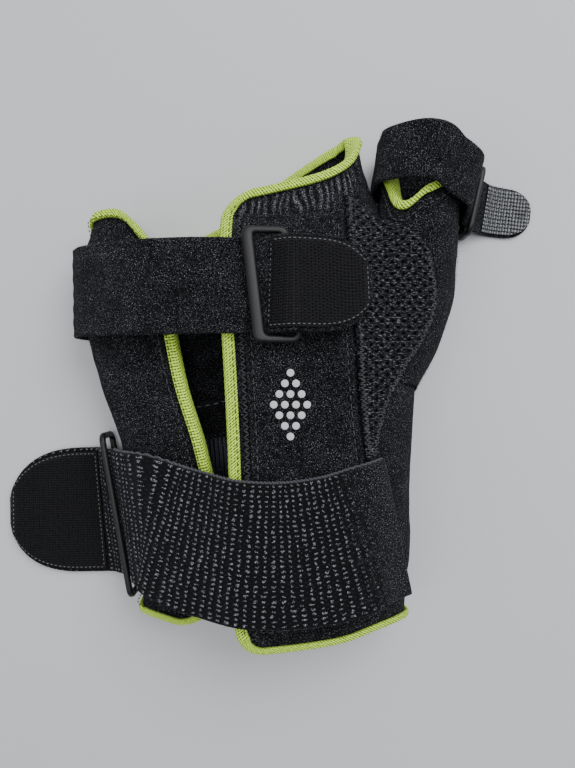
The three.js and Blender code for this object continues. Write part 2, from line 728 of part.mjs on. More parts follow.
// A strap's station. place gives the point and the outward direction at a height and a share of the
// strap's half width; the station spans the two edges and is moved out until its middle clears too.
function station(place, y, width, lean = 0) {
  const reach = (width / 2) * Math.cos(degrees(lean));
  const at = (share) => place(y + share * reach, share);
  const [low, high] = [at(-1).point, at(1).point];
  const centre = low.clone().add(high).multiplyScalar(0.5);
  const across = high.clone().sub(low).normalize();
  let clear = 0;
  for (const share of [-0.5, 0, 0.5]) {
    const { point: wanted, out } = at(share);
    clear = Math.max(clear, wanted.sub(low.clone().lerp(high, (1 + share) / 2)).dot(out));
  }
  return { centre: centre.addScaledVector(at(0).out, clear), across };
}

// Over the front: off is the height of the strap's middle layer above it.
function overFront(x, y, lean, width, off) {
  const shift = (width / 2) * Math.sin(degrees(lean));
  const place = (edgeY, share) => {
    const edgeX = x + shift * share;
    return { point: point(edgeX, edgeY, frontHeight(edgeX, edgeY) + off), out: point(0, 0, 1) };
  };
  return station(place, y, width, lean);
}

// Beside the wrap or the sheath, at an angle round its section and clear of it by off.
function besideSection(measure, y, angle, width, off) {
  const place = (edgeY) => {
    const m = measure(edgeY);
    const [x, z] = sectionPoint(m, degrees(angle), 0);
    const [x1, z1] = sectionPoint(m, degrees(angle + 1), 0);
    const out = point(z1 - z, 0, x - x1).normalize();
    return { point: point(x, edgeY, z).addScaledVector(out, off), out };
  };
  return station(place, y, width);
}
const sheathMeasures = (y) => measures(sheathSections, y);
const free = (x, y, z, lean) => ({ centre: point(x, y, z), across: leaning(lean) });

// The palm strap: from under the left fold, over the front, through its ring and on to its tab
const palmY = yOf(0.678);
const palmLean = -1.5;
const pocketTop = overlayGap + pocketThickness + gap; // from the wrap's front to what lies on the pocket
const palmRingX = -0.064 * halfWidth; // middle of the ring
const [palmLeftX, palmRightX] = [palmRingX - ringReach, palmRingX + ringReach];
const palmHalf = palmStrapThickness / 2;
const palmLow = pocketTop + palmHalf + 0.2;
const palmBarLow = palmLow + palmHalf + gap + barRadius + 0.25;
const palmBarHigh = pocketTop + keeperRadius + 0.15;
const palmOver = palmBarHigh + keeperRadius + gap + palmHalf + 0.6;
const palmOnKeeper = pocketTop + keeperStack + gap + palmHalf + 1.2;
const palmOff = gap + 0.7 + palmHalf;
const palmAt = (x, off) => overFront(x, palmY, palmLean, palmStrapWidth, off);
const palmBeside = (angle, off) => besideSection(wrapMeasures, palmY, angle, palmStrapWidth, off);
const palmRoute = [
  palmBeside(217, palmOff),
  palmBeside(203, palmOff),
  palmBeside(188, palmOff),
  palmBeside(176, palmOff),
  palmBeside(165, palmOff + 0.4),
  palmBeside(154, palmOff + 2),
  free(-0.8 * halfWidth, palmY, 0.93 * sleeveHeight, 0),
  free(-0.52 * halfWidth, palmY, sleeveHeight + 1.6, -0.5),
  palmAt(palmLeftX - 6, palmLow + 0.1),
  palmAt(palmLeftX + 1.6, palmLow),
  palmAt(palmRightX - 3.6, palmOver - 1.5),
  palmAt(palmRightX, palmOver),
  palmAt(palmRightX + 4, palmOver - 0.5),
  palmAt(palmRightX + 11, palmOnKeeper + 0.8),
  palmAt(palmRightX + 19, palmOnKeeper),
  palmAt(palmRightX + palmTabLength, palmOnKeeper - 0.8),
];
strapPiece("palm_strap", palmRoute, palmStrapWidth, palmStrapThickness, 36, plush);
hookPatch("palm_hook_patch", palmRoute, palmStrapWidth, palmStrapThickness, palmTabLength - palmHookSetback);
const palmTilt = 7; // how far the ring is turned on the strap
const palmBarLeft = palmAt(palmLeftX, palmBarLow);
const palmBarRight = palmAt(palmRightX, palmBarHigh);
const palmLong = leaning(-palmTilt).setZ(palmBarRight.across.z).normalize();
addPiece(
  "palm_ring",
  ringGeometry(
    palmBarLeft.centre.clone().add(palmBarRight.centre).multiplyScalar(0.5),
    palmLong,
    palmBarRight.centre.clone().sub(palmBarLeft.centre).normalize(),
    palmStrapWidth + ringClearance,
    ringSlot,
  ),
  ...moulded,
);
const palmFoot = palmAt(palmRightX + palmKeeperLength, pocketTop + keeperStack / 2 + 0.1).centre;
addPiece(
  "palm_ring_keeper",
  keeperGeometry(palmBarRight.centre, palmFoot, palmLong, palmStrapWidth * keeperShare),
  ...plush,
);

// The forearm strap: from the right side of the front, over the slit, down the left side to its ring
const forearmY = yOf(0.19);
const forearmRise = 0.045 * sleeveLength; // how far the strap's ends stand above its middle
const forearmLean = -10.3;
const forearmHalf = forearmStrapThickness / 2;
const forearmSeat = pocketTop + forearmHalf + 0.15;
const forearmAt = (share, rise, lean, off = 0) =>
  overFront(share * halfWidth, forearmY + rise * forearmRise, lean, forearmStrapWidth, forearmSeat + off);
const forearmRingY = forearmY + forearmRise;
const forearmFold = wrapMeasures(forearmRingY);
const forearmOff = gap + 0.5 + forearmHalf;
const forearmRingX = forearmFold.middle - forearmFold.half - forearmOff - forearmHalf - 4 * gap - ringBar;
const forearmRingZ = ringReach + keeperRadius + 0.8;
const onTable = forearmHalf + 0.05;
const forearmBeside = (angle, off) =>
  besideSection(wrapMeasures, forearmRingY, angle, forearmStrapWidth, off);
const pastForearmRing = (far, rise, z, lean) =>
  free(forearmRingX - far, forearmY + rise * forearmRise, z, lean);
const forearmRoute = [
  forearmAt(0.545, 1, 4),
  forearmAt(0.42, 0.72, 5),
  forearmAt(0.24, 0.28, 4),
  forearmAt(0.0, 0, 0),
  forearmAt(-0.23, 0.05, -2),
  free(-0.42 * halfWidth, forearmY + 0.28 * forearmRise, 0.97 * sleeveHeight, -4),
  free(-0.58 * halfWidth, forearmY + 0.6 * forearmRise, 0.87 * sleeveHeight, -7),
  forearmBeside(140, forearmOff + 3),
  forearmBeside(157, forearmOff + 0.6),
  forearmBeside(170, forearmOff),
  pastForearmRing(-2.2, 1, forearmRingZ + 3.6, forearmLean),
  pastForearmRing(0, 1, forearmRingZ + 0.9, forearmLean),
  pastForearmRing(3.6, 1, forearmRingZ - 2.3, forearmLean),
  pastForearmRing(8, 0.97, onTable + 1.8, -8),
  pastForearmRing(14, 0.93, onTable, -5),
  pastForearmRing(forearmTabLength * 0.65, 0.88, onTable, -1),
  pastForearmRing(forearmTabLength, 0.85, onTable, 0),
];
strapPiece("forearm_strap", forearmRoute, forearmStrapWidth, forearmStrapThickness, 42, elastic);
hookPatch(
  "forearm_hook_patch", forearmRoute, forearmStrapWidth, forearmStrapThickness, forearmTabLength - forearmHookSetback);
const upright = point(0, 0, 1);
const forearmLong = leaning(forearmLean);
const forearmRingCentre = point(forearmRingX, forearmRingY, forearmRingZ);
addPiece(
  "forearm_ring",
  ringGeometry(forearmRingCentre, forearmLong, upright, forearmStrapWidth + 4 * ringClearance, ringSlot),
  ...moulded,
);
const forearmBar = forearmRingCentre.clone().addScaledVector(upright, -ringReach);
const forearmFoot = besideSection(wrapMeasures, forearmRingY, 211, forearmStrapWidth, 2).centre;
forearmFoot.z = forearmBar.z;
addPiece(
  "forearm_ring_keeper",
  keeperGeometry(forearmBar, forearmFoot, forearmLong, forearmStrapWidth * keeperShare),
  ...plush,
);

// The thumb strap: from under the sheath, up between thumb and palm, over the notch and out to its ring
const thumbY = yOf(0.935);
const thumbDrop = 0.064 * sleeveLength; // from the strap's middle over the thumb to its ring
const thumbHalf = thumbStrapThickness / 2;
const thumbOff = 2 * gap + bindingThickness + 0.3 + thumbHalf;
const thumbRingX = 1.005 * halfWidth;
const thumbRingZ = ringReach + keeperRadius + 0.8;
const thumbLean = 12.4;
const thumbTube = sheathMeasures(thumbY);
const thumbBeside = (angle, off) => besideSection(sheathMeasures, thumbY, angle, thumbStrapWidth, off);
const overThumb = (share, drop, height, lean) =>
  free(thumbTube.middle + share * thumbTube.half, thumbY - drop * thumbDrop, thumbTube.top + height, lean);
const pastThumbRing = (far, drop, z, lean) =>
  free(thumbRingX + far, thumbY - drop * thumbDrop, z, lean);
const thumbRoute = [
  ...[272, 257, 242, 228, 214, 200, 186, 172].map((angle) => thumbBeside(angle, thumbOff + 0.25)),
  thumbBeside(158, thumbOff + 1.4),
  thumbBeside(145, thumbOff + 3),
  overThumb(-0.38, 0.02, 5.6, 3),
  overThumb(0.05, 0.12, 6.6, 5),
  overThumb(0.4, 0.4, 4.6, 8),
  overThumb(0.98, 0.78, -0.6, thumbLean),
  pastThumbRing(-2.5, 0.96, thumbRingZ + 5.2, thumbLean),
  pastThumbRing(0, 1, thumbRingZ + 1, thumbLean),
  pastThumbRing(3.4, 1, thumbRingZ - 2.6, thumbLean),
  pastThumbRing(8, 1.02, thumbHalf + 1.9, thumbLean + 1),
  pastThumbRing(13.5, 1.06, thumbHalf + 0.05, thumbLean + 2),
  pastThumbRing(thumbTabLength * 0.75, 1.12, thumbHalf + 0.05, thumbLean + 4),
  pastThumbRing(thumbTabLength, 1.18, thumbHalf + 0.05, thumbLean + 5),
];
strapPiece("thumb_strap", thumbRoute, thumbStrapWidth, thumbStrapThickness, 42, plush);
hookPatch(
  "thumb_hook_patch", thumbRoute, thumbStrapWidth, thumbStrapThickness, thumbTabLength - thumbHookSetback);
const thumbLong = leaning(thumbLean);
const thumbRingCentre = point(thumbRingX, thumbY - thumbDrop, thumbRingZ);
addPiece(
  "thumb_ring",
  ringGeometry(thumbRingCentre, thumbLong, upright, thumbStrapWidth + ringClearance, ringSlot),
  ...moulded,
);
const thumbBar = thumbRingCentre.clone().addScaledVector(upright, -ringReach);
const thumbSeat = sheathMeasures(thumbBar.y);
const thumbFoot = point(thumbSeat.middle + thumbSeat.half * 0.93, thumbBar.y, thumbBar.z);
addPiece(
  "thumb_ring_keeper",
  keeperGeometry(thumbBar, thumbFoot, thumbLong.clone().negate(), thumbStrapWidth * keeperShare),
  ...plush,
);

// The origin is under the middle of the whole splint, on the surface that it lies on.
const extent = new THREE.Box3().setFromObject(part);
const centre = extent.getCenter(new THREE.Vector3());
part.position.set(-centre.x, -centre.y, -extent.min.z);

export default part;
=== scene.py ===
"""A thumb spica splint lying on its back: cloth, tape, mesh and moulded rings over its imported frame."""

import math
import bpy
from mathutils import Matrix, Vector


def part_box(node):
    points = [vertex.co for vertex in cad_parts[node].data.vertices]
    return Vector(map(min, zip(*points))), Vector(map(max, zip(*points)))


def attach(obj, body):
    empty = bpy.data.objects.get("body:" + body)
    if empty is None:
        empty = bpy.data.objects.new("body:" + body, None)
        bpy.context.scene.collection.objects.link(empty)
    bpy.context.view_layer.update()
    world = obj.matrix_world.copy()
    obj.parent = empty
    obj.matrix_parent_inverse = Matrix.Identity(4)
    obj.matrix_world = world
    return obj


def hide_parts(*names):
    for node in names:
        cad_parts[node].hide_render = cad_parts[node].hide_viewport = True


bl_info = {
    "name": "Thumb Spica Splint",
    "version": (1, 0, 0),
    "blender": (4, 5, 0),
    "location": "3D View > Sidebar > Splint",
    "description": "Makes the soft wrap, sheath, straps and rings of a thumb spica splint",
    "category": "Object",
}

import bmesh
import bpy
import numpy as np
from mathutils import Vector

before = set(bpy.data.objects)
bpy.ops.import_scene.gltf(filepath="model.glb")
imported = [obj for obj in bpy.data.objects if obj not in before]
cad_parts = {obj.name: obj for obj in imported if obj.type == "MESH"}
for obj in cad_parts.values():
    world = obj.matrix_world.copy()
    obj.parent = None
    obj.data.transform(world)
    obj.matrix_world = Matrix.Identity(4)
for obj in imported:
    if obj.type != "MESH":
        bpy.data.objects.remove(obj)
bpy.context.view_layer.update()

# Driving sizes in millimetres, the same as the solids'
SLEEVE_LENGTH = 188.0
SLEEVE_WIDTH = 142.0
SLEEVE_HEIGHT = 36.0
WALL = 3.0
TAPE = 0.9
TAPE_REACH = 4.6
SLIT_CORNER = 13.0
PANEL_CORNER = 9.0
GAP = 0.35
OVERLAY_GAP = 0.6
MESH_THICKNESS = 1.3
POCKET_THICKNESS = 1.2
PALM_WIDTH, PALM_THICKNESS, PALM_TAB = 33.0, 1.8, 27.0
FOREARM_WIDTH, FOREARM_THICKNESS, FOREARM_TAB = 50.0, 2.2, 47.0
THUMB_WIDTH, THUMB_THICKNESS, THUMB_TAB = 20.0, 1.6, 26.5
HOOK_THICKNESS = 1.0
RING_BAR = 2.4
RING_CLEARANCE = 2.2
RING_SLOT = 10.0
KEEPER_THICKNESS = 1.0
KEEPER_SHARE = 0.62
HALF_WIDTH = SLEEVE_WIDTH / 2
MM = 0.001


def table(columns, rows):
    return {name: np.array([row[k] for row in rows], float) for k, name in enumerate(columns)}


# The tables hold shares: at along SLEEVE_LENGTH, places across of HALF_WIDTH, heights of SLEEVE_HEIGHT.
WRAP = table(
    ("at", "left", "right", "top", "lift", "flap", "slit_left", "slit_right"),
    [
        (0.0, -0.746, 0.6, 0.9, 0.1, 0.6, -0.44, -0.235),
        (0.18, -0.796, 0.64, 1.0, 0.0, 0.7, -0.335, -0.258),
        (0.37, -0.872, 0.648, 1.0, 0.0, 0.72, -0.425, -0.272),
        (0.5, -0.985, 0.672, 1.0, 0.0, 0.73, -0.528, -0.288),
        (0.62, -1.073, 0.676, 1.0, 0.0, 0.74, -0.59, -0.306),
        (0.72, -1.086, 0.628, 0.96, 0.02, 0.72, -0.645, -0.318),
        (0.82, -1.03, 0.512, 0.87, 0.07, 0.68, -0.72, -0.31),
        (0.91, -0.93, 0.412, 0.77, 0.14, 0.66, -0.72, -0.26),
        (1.0, -0.79, 0.36, 0.66, 0.24, 0.64, -0.66, -0.2),
    ],
)
WRAP_ENDS = table(
    ("round", "mouth", "cuff"),
    [
        (0.0, 0.815, 0.02),
        (0.05, 0.838, 0.03),
        (0.1, 0.836, 0.045),
        (0.17, 0.795, 0.062),
        (0.25, 0.778, 0.055),
        (0.34, 0.808, 0.045),
        (0.46, 0.9, 0.04),
        (0.57, 0.965, 0.04),
        (0.66, 0.995, 0.045),
        (0.71, 0.985, 0.052),
        (0.76, 0.935, 0.045),
        (0.82, 0.9, 0.025),
        (0.91, 0.872, 0.01),
        (1.0, 0.85, 0.0),
    ],
)
SHEATH = table(
    ("at", "left", "right", "top", "lift"),
    [
        (0.43, 0.1, 0.6, 0.76, 0.04),
        (0.5, 0.16, 0.7, 0.86, 0.0),
        (0.57, 0.24, 0.79, 0.9, 0.0),
        (0.65, 0.32, 0.86, 0.91, 0.0),
        (0.73, 0.385, 0.89, 0.9, 0.01),
        (0.8, 0.44, 0.893, 0.88, 0.04),
        (0.87, 0.49, 0.905, 0.86, 0.095),
        (0.94, 0.52, 0.945, 0.81, 0.145),
        (1.0, 0.54, 0.93, 0.75, 0.19),
    ],
)
SHEATH_MOUTH = table(
    ("round", "mouth"),
    [
        (0.0, 0.868),
        (0.05, 0.84),
        (0.1, 0.846),
        (0.17, 0.892),
        (0.26, 0.935),
        (0.4, 0.972),
        (0.6, 0.99),
        (0.73, 0.965),
        (0.85, 0.92),
        (1.0, 0.868),
    ],
)
LEAF_SIDES = table(
    ("at", "left", "right"),
    [
        (0.36, 0.385, 0.43),
        (0.42, 0.365, 0.455),
        (0.5, 0.345, 0.5),
        (0.57, 0.335, 0.57),
        (0.64, 0.32, 0.66),
        (0.7, 0.308, 0.72),
        (0.76, 0.298, 0.735),
        (0.86, 0.288, 0.7),
    ],
)
LEAF_TOP = table(
    ("across", "at"),
    [(0.0, 0.86), (0.3, 0.83), (0.6, 0.802), (0.85, 0.775), (1.0, 0.745)],
)


def y_of(at):
    return (np.asarray(at, float) - 0.5) * SLEEVE_LENGTH


def hermite(p, q, slope_p, slope_q, t):
    """Cubic from p to q with the slopes given at both, at shares t."""
    t2, t3 = t * t, t * t * t
    near, far = 2 * t3 - 3 * t2 + 1, 3 * t2 - 2 * t3
    return p * near + slope_p * (t3 - 2 * t2 + t) + q * far + slope_q * (t3 - t2)


def look_up(rows, key, value, by="at"):
    """Catmull-Rom value of one column of a table against the column named by."""
    xs, ys = rows[by], rows[key]
    value = np.asarray(value, float)
    a = np.clip(np.searchsorted(xs, value) - 1, 0, len(xs) - 2)
    b = a + 1
    before, after = np.maximum(a - 1, 0), np.minimum(a + 2, len(xs) - 1)
    span = xs[b] - xs[a]
    t = np.clip((value - xs[a]) / span, 0, 1)
    slope_a = (ys[b] - ys[before]) / np.maximum(xs[b] - xs[before], 1e-9) * span
    slope_b = (ys[after] - ys[a]) / np.maximum(xs[after] - xs[a], 1e-9) * span
    return hermite(ys[a], ys[b], slope_a, slope_b, t)


def power(value, exponent):
    return np.sign(value) * np.abs(value) ** exponent


def smooth(t):
    t = np.clip(t, 0, 1)
    return t * t * (3 - 2 * t)


# Roundness of a section's sides, upper face and under face, as in the solids
LEAST_SIDE, MOST_SIDE = 2.4, 5.0
UPPER, UNDER = 2.2, 3.2
UNDER_SINK = 1.5
FOLD_SHARE = 0.46


def measures(rows, y):
    """A section's measures at heights y along the hand, in millimetres."""
    at = np.asarray(y, float) / SLEEVE_LENGTH + 0.5
    left = look_up(rows, "left", at) * HALF_WIDTH
    right = look_up(rows, "right", at) * HALF_WIDTH
    top = look_up(rows, "top", at) * SLEEVE_HEIGHT
    lift = np.maximum(look_up(rows, "lift", at), 0) * SLEEVE_HEIGHT
    half = (right - left) / 2
    m = {
        "middle": (left + right) / 2,
        "half": half,
        "top": top,
        "lift": lift,
        "fold": lift + (top - lift) * FOLD_SHARE,
        "side": np.clip(2 * half / (top - lift), LEAST_SIDE, MOST_SIDE),
    }
    if "flap" in rows:
        m["slit_left"] = look_up(rows, "slit_left", at) * HALF_WIDTH
        m["slit_right"] = look_up(rows, "slit_right", at) * HALF_WIDTH
        m["flap"] = look_up(rows, "flap", at)
    return m


def crown_at(m, x):
    if "flap" not in m:
        return m["top"] + 0 * x
    towards = smooth((m["slit_right"] - x) / (m["slit_right"] - m["slit_left"]))
    return m["top"] * (1 - (1 - m["flap"]) * towards)


def section_point(m, angle, outset=0.0):
    """A point of a section: 90 degrees is its top, 180 its left fold, 270 its under face."""
    c, s = np.cos(angle), np.sin(angle)
    x = m["middle"] + (m["half"] + outset) * power(c, 2 / m["side"])
    upper = m["fold"] + (crown_at(m, x) + outset - m["fold"]) * np.abs(s) ** (2 / UPPER)
    depth = m["fold"] - m["lift"] + UNDER_SINK + outset
    under = np.maximum(m["lift"] - outset, m["fold"] - depth * np.abs(s) ** (2 / UNDER))
    return x, np.where(s >= 0, upper, under)


def angle_of(m, x):
    u = np.clip((x - m["middle"]) / m["half"], -0.999, 0.999)
    return np.arccos(power(u, m["side"] / 2))


def upper_at(m, x):
    across = np.minimum(np.abs(x - m["middle"]) / m["half"], 1.0)
    rise = (crown_at(m, x) - m["fold"]) * (1 - across ** m["side"]) ** (1 / UPPER)
    return m["fold"] + rise


# How softly the wrap's front runs into the thumb's tube
BLEND = 3.6


def front_height(x, y):
    """Height of the wrap's and the sheath's fronts, blended, over a place."""
    x, y = np.asarray(x, float), np.asarray(y, float)
    wrap = upper_at(measures(WRAP, y), x)
    sheath = upper_at(measures(SHEATH, y), x)
    return (wrap + sheath + np.hypot(wrap - sheath, BLEND)) / 2


class Skin:
    """The wrap's outer face, tabled finely by its share round and its place along the hand."""

    def __init__(self, rounds=512, rows=420, low=-110.0, high=112.0):
        self.ys = np.linspace(low, high, rows)
        m = {k: v[:, None] for k, v in measures(WRAP, self.ys).items()}
        start = angle_of(m, m["slit_left"])
        end = 2 * np.pi + angle_of(m, m["slit_right"])
        angles = start + (end - start) * np.linspace(0, 1, rounds * 2)[None, :]
        x, z = section_point(m, angles)
        steps = np.hypot(np.diff(x, axis=1), np.diff(z, axis=1))
        run = np.concatenate([np.zeros((rows, 1)), np.cumsum(steps, axis=1)], axis=1)
        self.total = run[:, -1]
        shares = np.linspace(0, 1, rounds)
        self.x = np.stack([np.interp(shares * run[k, -1], run[k], x[k]) for k in range(rows)])
        self.z = np.stack([np.interp(shares * run[k, -1], run[k], z[k]) for k in range(rows)])

    def length(self, y):
        return np.interp(y, self.ys, self.total)

    def point(self, share, y):
        """Points at shares round and places along, as an array of millimetres."""
        share, y = np.broadcast_arrays(np.asarray(share, float), np.asarray(y, float))
        r = (y - self.ys[0]) / (self.ys[1] - self.ys[0])
        c = np.clip(share, 0, 1) * (self.x.shape[1] - 1)
        r0 = np.clip(np.floor(r).astype(int), 0, len(self.ys) - 2)
        c0 = np.clip(np.floor(c).astype(int), 0, self.x.shape[1] - 2)
        fr, fc = r - r0, c - c0
        out = []
        for grid in (self.x, self.z):
            low = grid[r0, c0] * (1 - fc) + grid[r0, c0 + 1] * fc
            high = grid[r0 + 1, c0] * (1 - fc) + grid[r0 + 1, c0 + 1] * fc
            out.append(low * (1 - fr) + high * fr)
        return np.stack([out[0], y, out[1]], axis=-1)

    def normal(self, share, y, reach=0.9):
        around = self.length(y)
        ds = reach / around
        back, fore = np.maximum(share - ds, 0), np.minimum(share + ds, 1)
        across = self.point(fore, y) - self.point(back, y)
        along = self.point(share, y + reach) - self.point(share, y - reach)
        return unit(np.cross(along, across))


def unit(v):
    return v / np.maximum(np.linalg.norm(v, axis=-1, keepdims=True), 1e-9)


def run_of(points, closed=False):
    """Length so far at each point, with one more at the end where the line closes."""
    ends = np.concatenate([points, points[:1]]) if closed else points
    return np.concatenate([[0], np.cumsum(np.linalg.norm(np.diff(ends, axis=0), axis=-1))])


def placed(places, run, points):
    """Points at places along a line of points whose lengths so far are run."""
    return np.stack([np.interp(places, run, points[:, k]) for k in range(3)], axis=-1)


skin = Skin()


# Straps and rings in millimetres, on the same stations as the solids
BAR_RADIUS = RING_BAR / 2 / math.cos(math.pi / 8)
KEEPER_RADIUS = BAR_RADIUS + GAP + KEEPER_THICKNESS
KEEPER_STACK = 2 * KEEPER_THICKNESS + GAP
RING_REACH = (RING_SLOT + RING_BAR) / 2
POCKET_TOP = OVERLAY_GAP + POCKET_THICKNESS + GAP
UPRIGHT = np.array([0.0, 0.0, 1.0])


def vector(x, y, z):
    return np.array([x, y, z], float)


def leaning(angle):
    return vector(math.sin(math.radians(angle)), math.cos(math.radians(angle)), 0)


def station(place, y, width, lean=0.0):
    """A strap's centre and direction across it, moved out until the middle clears as its edges do."""
    reach = width / 2 * math.cos(math.radians(lean))
    low, high = place(y - reach, -1)[0], place(y + reach, 1)[0]
    clear = 0.0
    for share in (-0.5, 0.0, 0.5):
        wanted, out = place(y + share * reach, share)
        clear = max(clear, float(np.dot(wanted - (low + (high - low) * (1 + share) / 2), out)))
    return (low + high) / 2 + place(y, 0)[1] * clear, unit(high - low)


def over_front(x, y, lean, width, off):
    shift = width / 2 * math.sin(math.radians(lean))

    def place(edge_y, share):
        edge_x = x + shift * share
        return vector(edge_x, edge_y, float(front_height(edge_x, edge_y)) + off), UPRIGHT

    return station(place, y, width, lean)


def beside(rows, y, angle, width, off):
    def place(edge_y, share):
        m = measures(rows, edge_y)
        x, z = section_point(m, math.radians(angle))
        x1, z1 = section_point(m, math.radians(angle + 1))
        out = unit(vector(z1 - z, 0, x - x1))
        return vector(x, edge_y, z) + out * off, out

    return station(place, y, width)


def free(x, y, z, lean):
    return vector(x, y, z), leaning(lean)


def catmull_rom(points, shares):
    """Centripetal Catmull-Rom through points, at shares of their count."""
    points = np.asarray(points, float)
    padded = np.vstack([2 * points[0] - points[1], points, 2 * points[-1] - points[-2]])
    place = np.clip(shares, 0, 1) * (len(points) - 1)
    i = np.clip(np.floor(place).astype(int), 0, len(points) - 2)
    t = (place - i)[:, None]
    p0, p1, p2, p3 = (padded[i + k] for k in range(4))
    pairs = ((p0, p1), (p1, p2), (p2, p3))
    gaps = [np.sqrt(np.linalg.norm(b - a, axis=1, keepdims=True)) for a, b in pairs]
    d1 = np.where(gaps[1] < 1e-4, 1.0, gaps[1])
    d0 = np.where(gaps[0] < 1e-4, d1, gaps[0])
    d2 = np.where(gaps[2] < 1e-4, d1, gaps[2])
    m1 = ((p1 - p0) / d0 - (p2 - p0) / (d0 + d1) + (p2 - p1) / d1) * d1
    m2 = ((p2 - p1) / d1 - (p3 - p1) / (d1 + d2) + (p3 - p2) / d2) * d1
    return hermite(p1, p2, m1, m2, t)


class Route:
    """A strap's middle layer: evenly spaced centres with the direction across and the normal at each."""

    def __init__(self, stations, count):
        fine = np.linspace(0, 1, 2400)
        points = catmull_rom([s[0] for s in stations], fine)
        sides = catmull_rom([s[1] for s in stations], fine)
        run = run_of(points)
        self.length = run[-1]
        self.run = np.linspace(0, self.length, count)
        pick = lambda grid: placed(self.run, run, grid)
        self.centre = pick(points)
        along = np.gradient(self.centre, axis=0)
        self.along = unit(along)
        across = pick(sides)
        across -= self.along * np.sum(across * self.along, axis=1, keepdims=True)
        self.across = unit(across)
        self.up = unit(np.cross(self.along, self.across))

    def at(self, run, side, height):
        """Points at a length along, a distance across and a height over the middle layer."""
        run = np.asarray(run, float)
        pick = lambda grid: placed(run, self.run, grid)
        side, height = np.asarray(side, float)[..., None], np.asarray(height, float)[..., None]
        return pick(self.centre) + pick(self.across) * side + pick(self.up) * height


def palm_layout():
    y, lean, half = float(y_of(0.678)), -1.5, PALM_THICKNESS / 2
    ring_x = -0.064 * HALF_WIDTH
    left_x, right_x = ring_x - RING_REACH, ring_x + RING_REACH
    low = POCKET_TOP + half + 0.2
    bar_low = low + half + GAP + BAR_RADIUS + 0.25
    bar_high = POCKET_TOP + KEEPER_RADIUS + 0.15
    over = bar_high + KEEPER_RADIUS + GAP + half + 0.6
    on_keeper = POCKET_TOP + KEEPER_STACK + GAP + half + 1.2
    off = GAP + 0.7 + half
    at = lambda x, height: over_front(x, y, lean, PALM_WIDTH, height)
    by = lambda angle, out: beside(WRAP, y, angle, PALM_WIDTH, out)
    stations = [by(angle, off) for angle in (217, 203, 188, 176)] + [
        by(165, off + 0.4),
        by(154, off + 2),
        free(-0.8 * HALF_WIDTH, y, 0.93 * SLEEVE_HEIGHT, 0),
        free(-0.52 * HALF_WIDTH, y, SLEEVE_HEIGHT + 1.6, -0.5),
        at(left_x - 6, low + 0.1),
        at(left_x + 1.6, low),
        at(right_x - 3.6, over - 1.5),
        at(right_x, over),
        at(right_x + 4, over - 0.5),
        at(right_x + 11, on_keeper + 0.8),
        at(right_x + 19, on_keeper),
        at(right_x + PALM_TAB, on_keeper - 0.8),
    ]
    bar_left, bar_right = at(left_x, bar_low), at(right_x, bar_high)
    long = leaning(-7)
    long = unit(vector(long[0], long[1], bar_right[1][2]))
    ring = {
        "centre": (bar_left[0] + bar_right[0]) / 2,
        "long": long,
        "short": unit(bar_right[0] - bar_left[0]),
        "free": PALM_WIDTH + RING_CLEARANCE,
    }
    foot = at(right_x + 17, POCKET_TOP + KEEPER_STACK / 2 + 0.1)[0]
    keeper = {"bar": bar_right[0], "foot": foot, "side": long, "width": PALM_WIDTH * KEEPER_SHARE}
    return Route(stations, 300), ring, keeper


def forearm_layout():
    y, rise, lean, half = float(y_of(0.19)), 0.045 * SLEEVE_LENGTH, -10.3, FOREARM_THICKNESS / 2
    seat = POCKET_TOP + half + 0.15
    at = lambda share, up, tilt: over_front(share * HALF_WIDTH, y + up * rise, tilt, FOREARM_WIDTH, seat)
    ring_y = y + rise
    fold = measures(WRAP, ring_y)
    off = GAP + 0.5 + half
    ring_x = float(fold["middle"] - fold["half"]) - off - half - 4 * GAP - RING_BAR
    ring_z = RING_REACH + KEEPER_RADIUS + 0.8
    table_z = half + 0.05
    by = lambda angle, out: beside(WRAP, ring_y, angle, FOREARM_WIDTH, out)
    past = lambda far, up, z, tilt: free(ring_x - far, y + up * rise, z, tilt)
    stations = [
        at(0.545, 1, 4),
        at(0.42, 0.72, 5),
        at(0.24, 0.28, 4),
        at(0.0, 0, 0),
        at(-0.23, 0.05, -2),
        free(-0.42 * HALF_WIDTH, y + 0.28 * rise, 0.97 * SLEEVE_HEIGHT, -4),
        free(-0.58 * HALF_WIDTH, y + 0.6 * rise, 0.87 * SLEEVE_HEIGHT, -7),
        by(140, off + 3),
        by(157, off + 0.6),
        by(170, off),
        past(-2.2, 1, ring_z + 3.6, lean),
        past(0, 1, ring_z + 0.9, lean),
        past(3.6, 1, ring_z - 2.3, lean),
        past(8, 0.97, table_z + 1.8, -8),
        past(14, 0.93, table_z, -5),
        past(FOREARM_TAB * 0.65, 0.88, table_z, -1),
        past(FOREARM_TAB, 0.85, table_z, 0),
    ]
    ring = {
        "centre": vector(ring_x, ring_y, ring_z),
        "long": leaning(lean),
        "short": UPRIGHT,
        "free": FOREARM_WIDTH + 4 * RING_CLEARANCE,
    }
    bar = ring["centre"] - UPRIGHT * RING_REACH
    foot = beside(WRAP, ring_y, 211, FOREARM_WIDTH, 2)[0]
    foot[2] = bar[2]
    keeper = {"bar": bar, "foot": foot, "side": ring["long"], "width": FOREARM_WIDTH * KEEPER_SHARE}
    return Route(stations, 420), ring, keeper


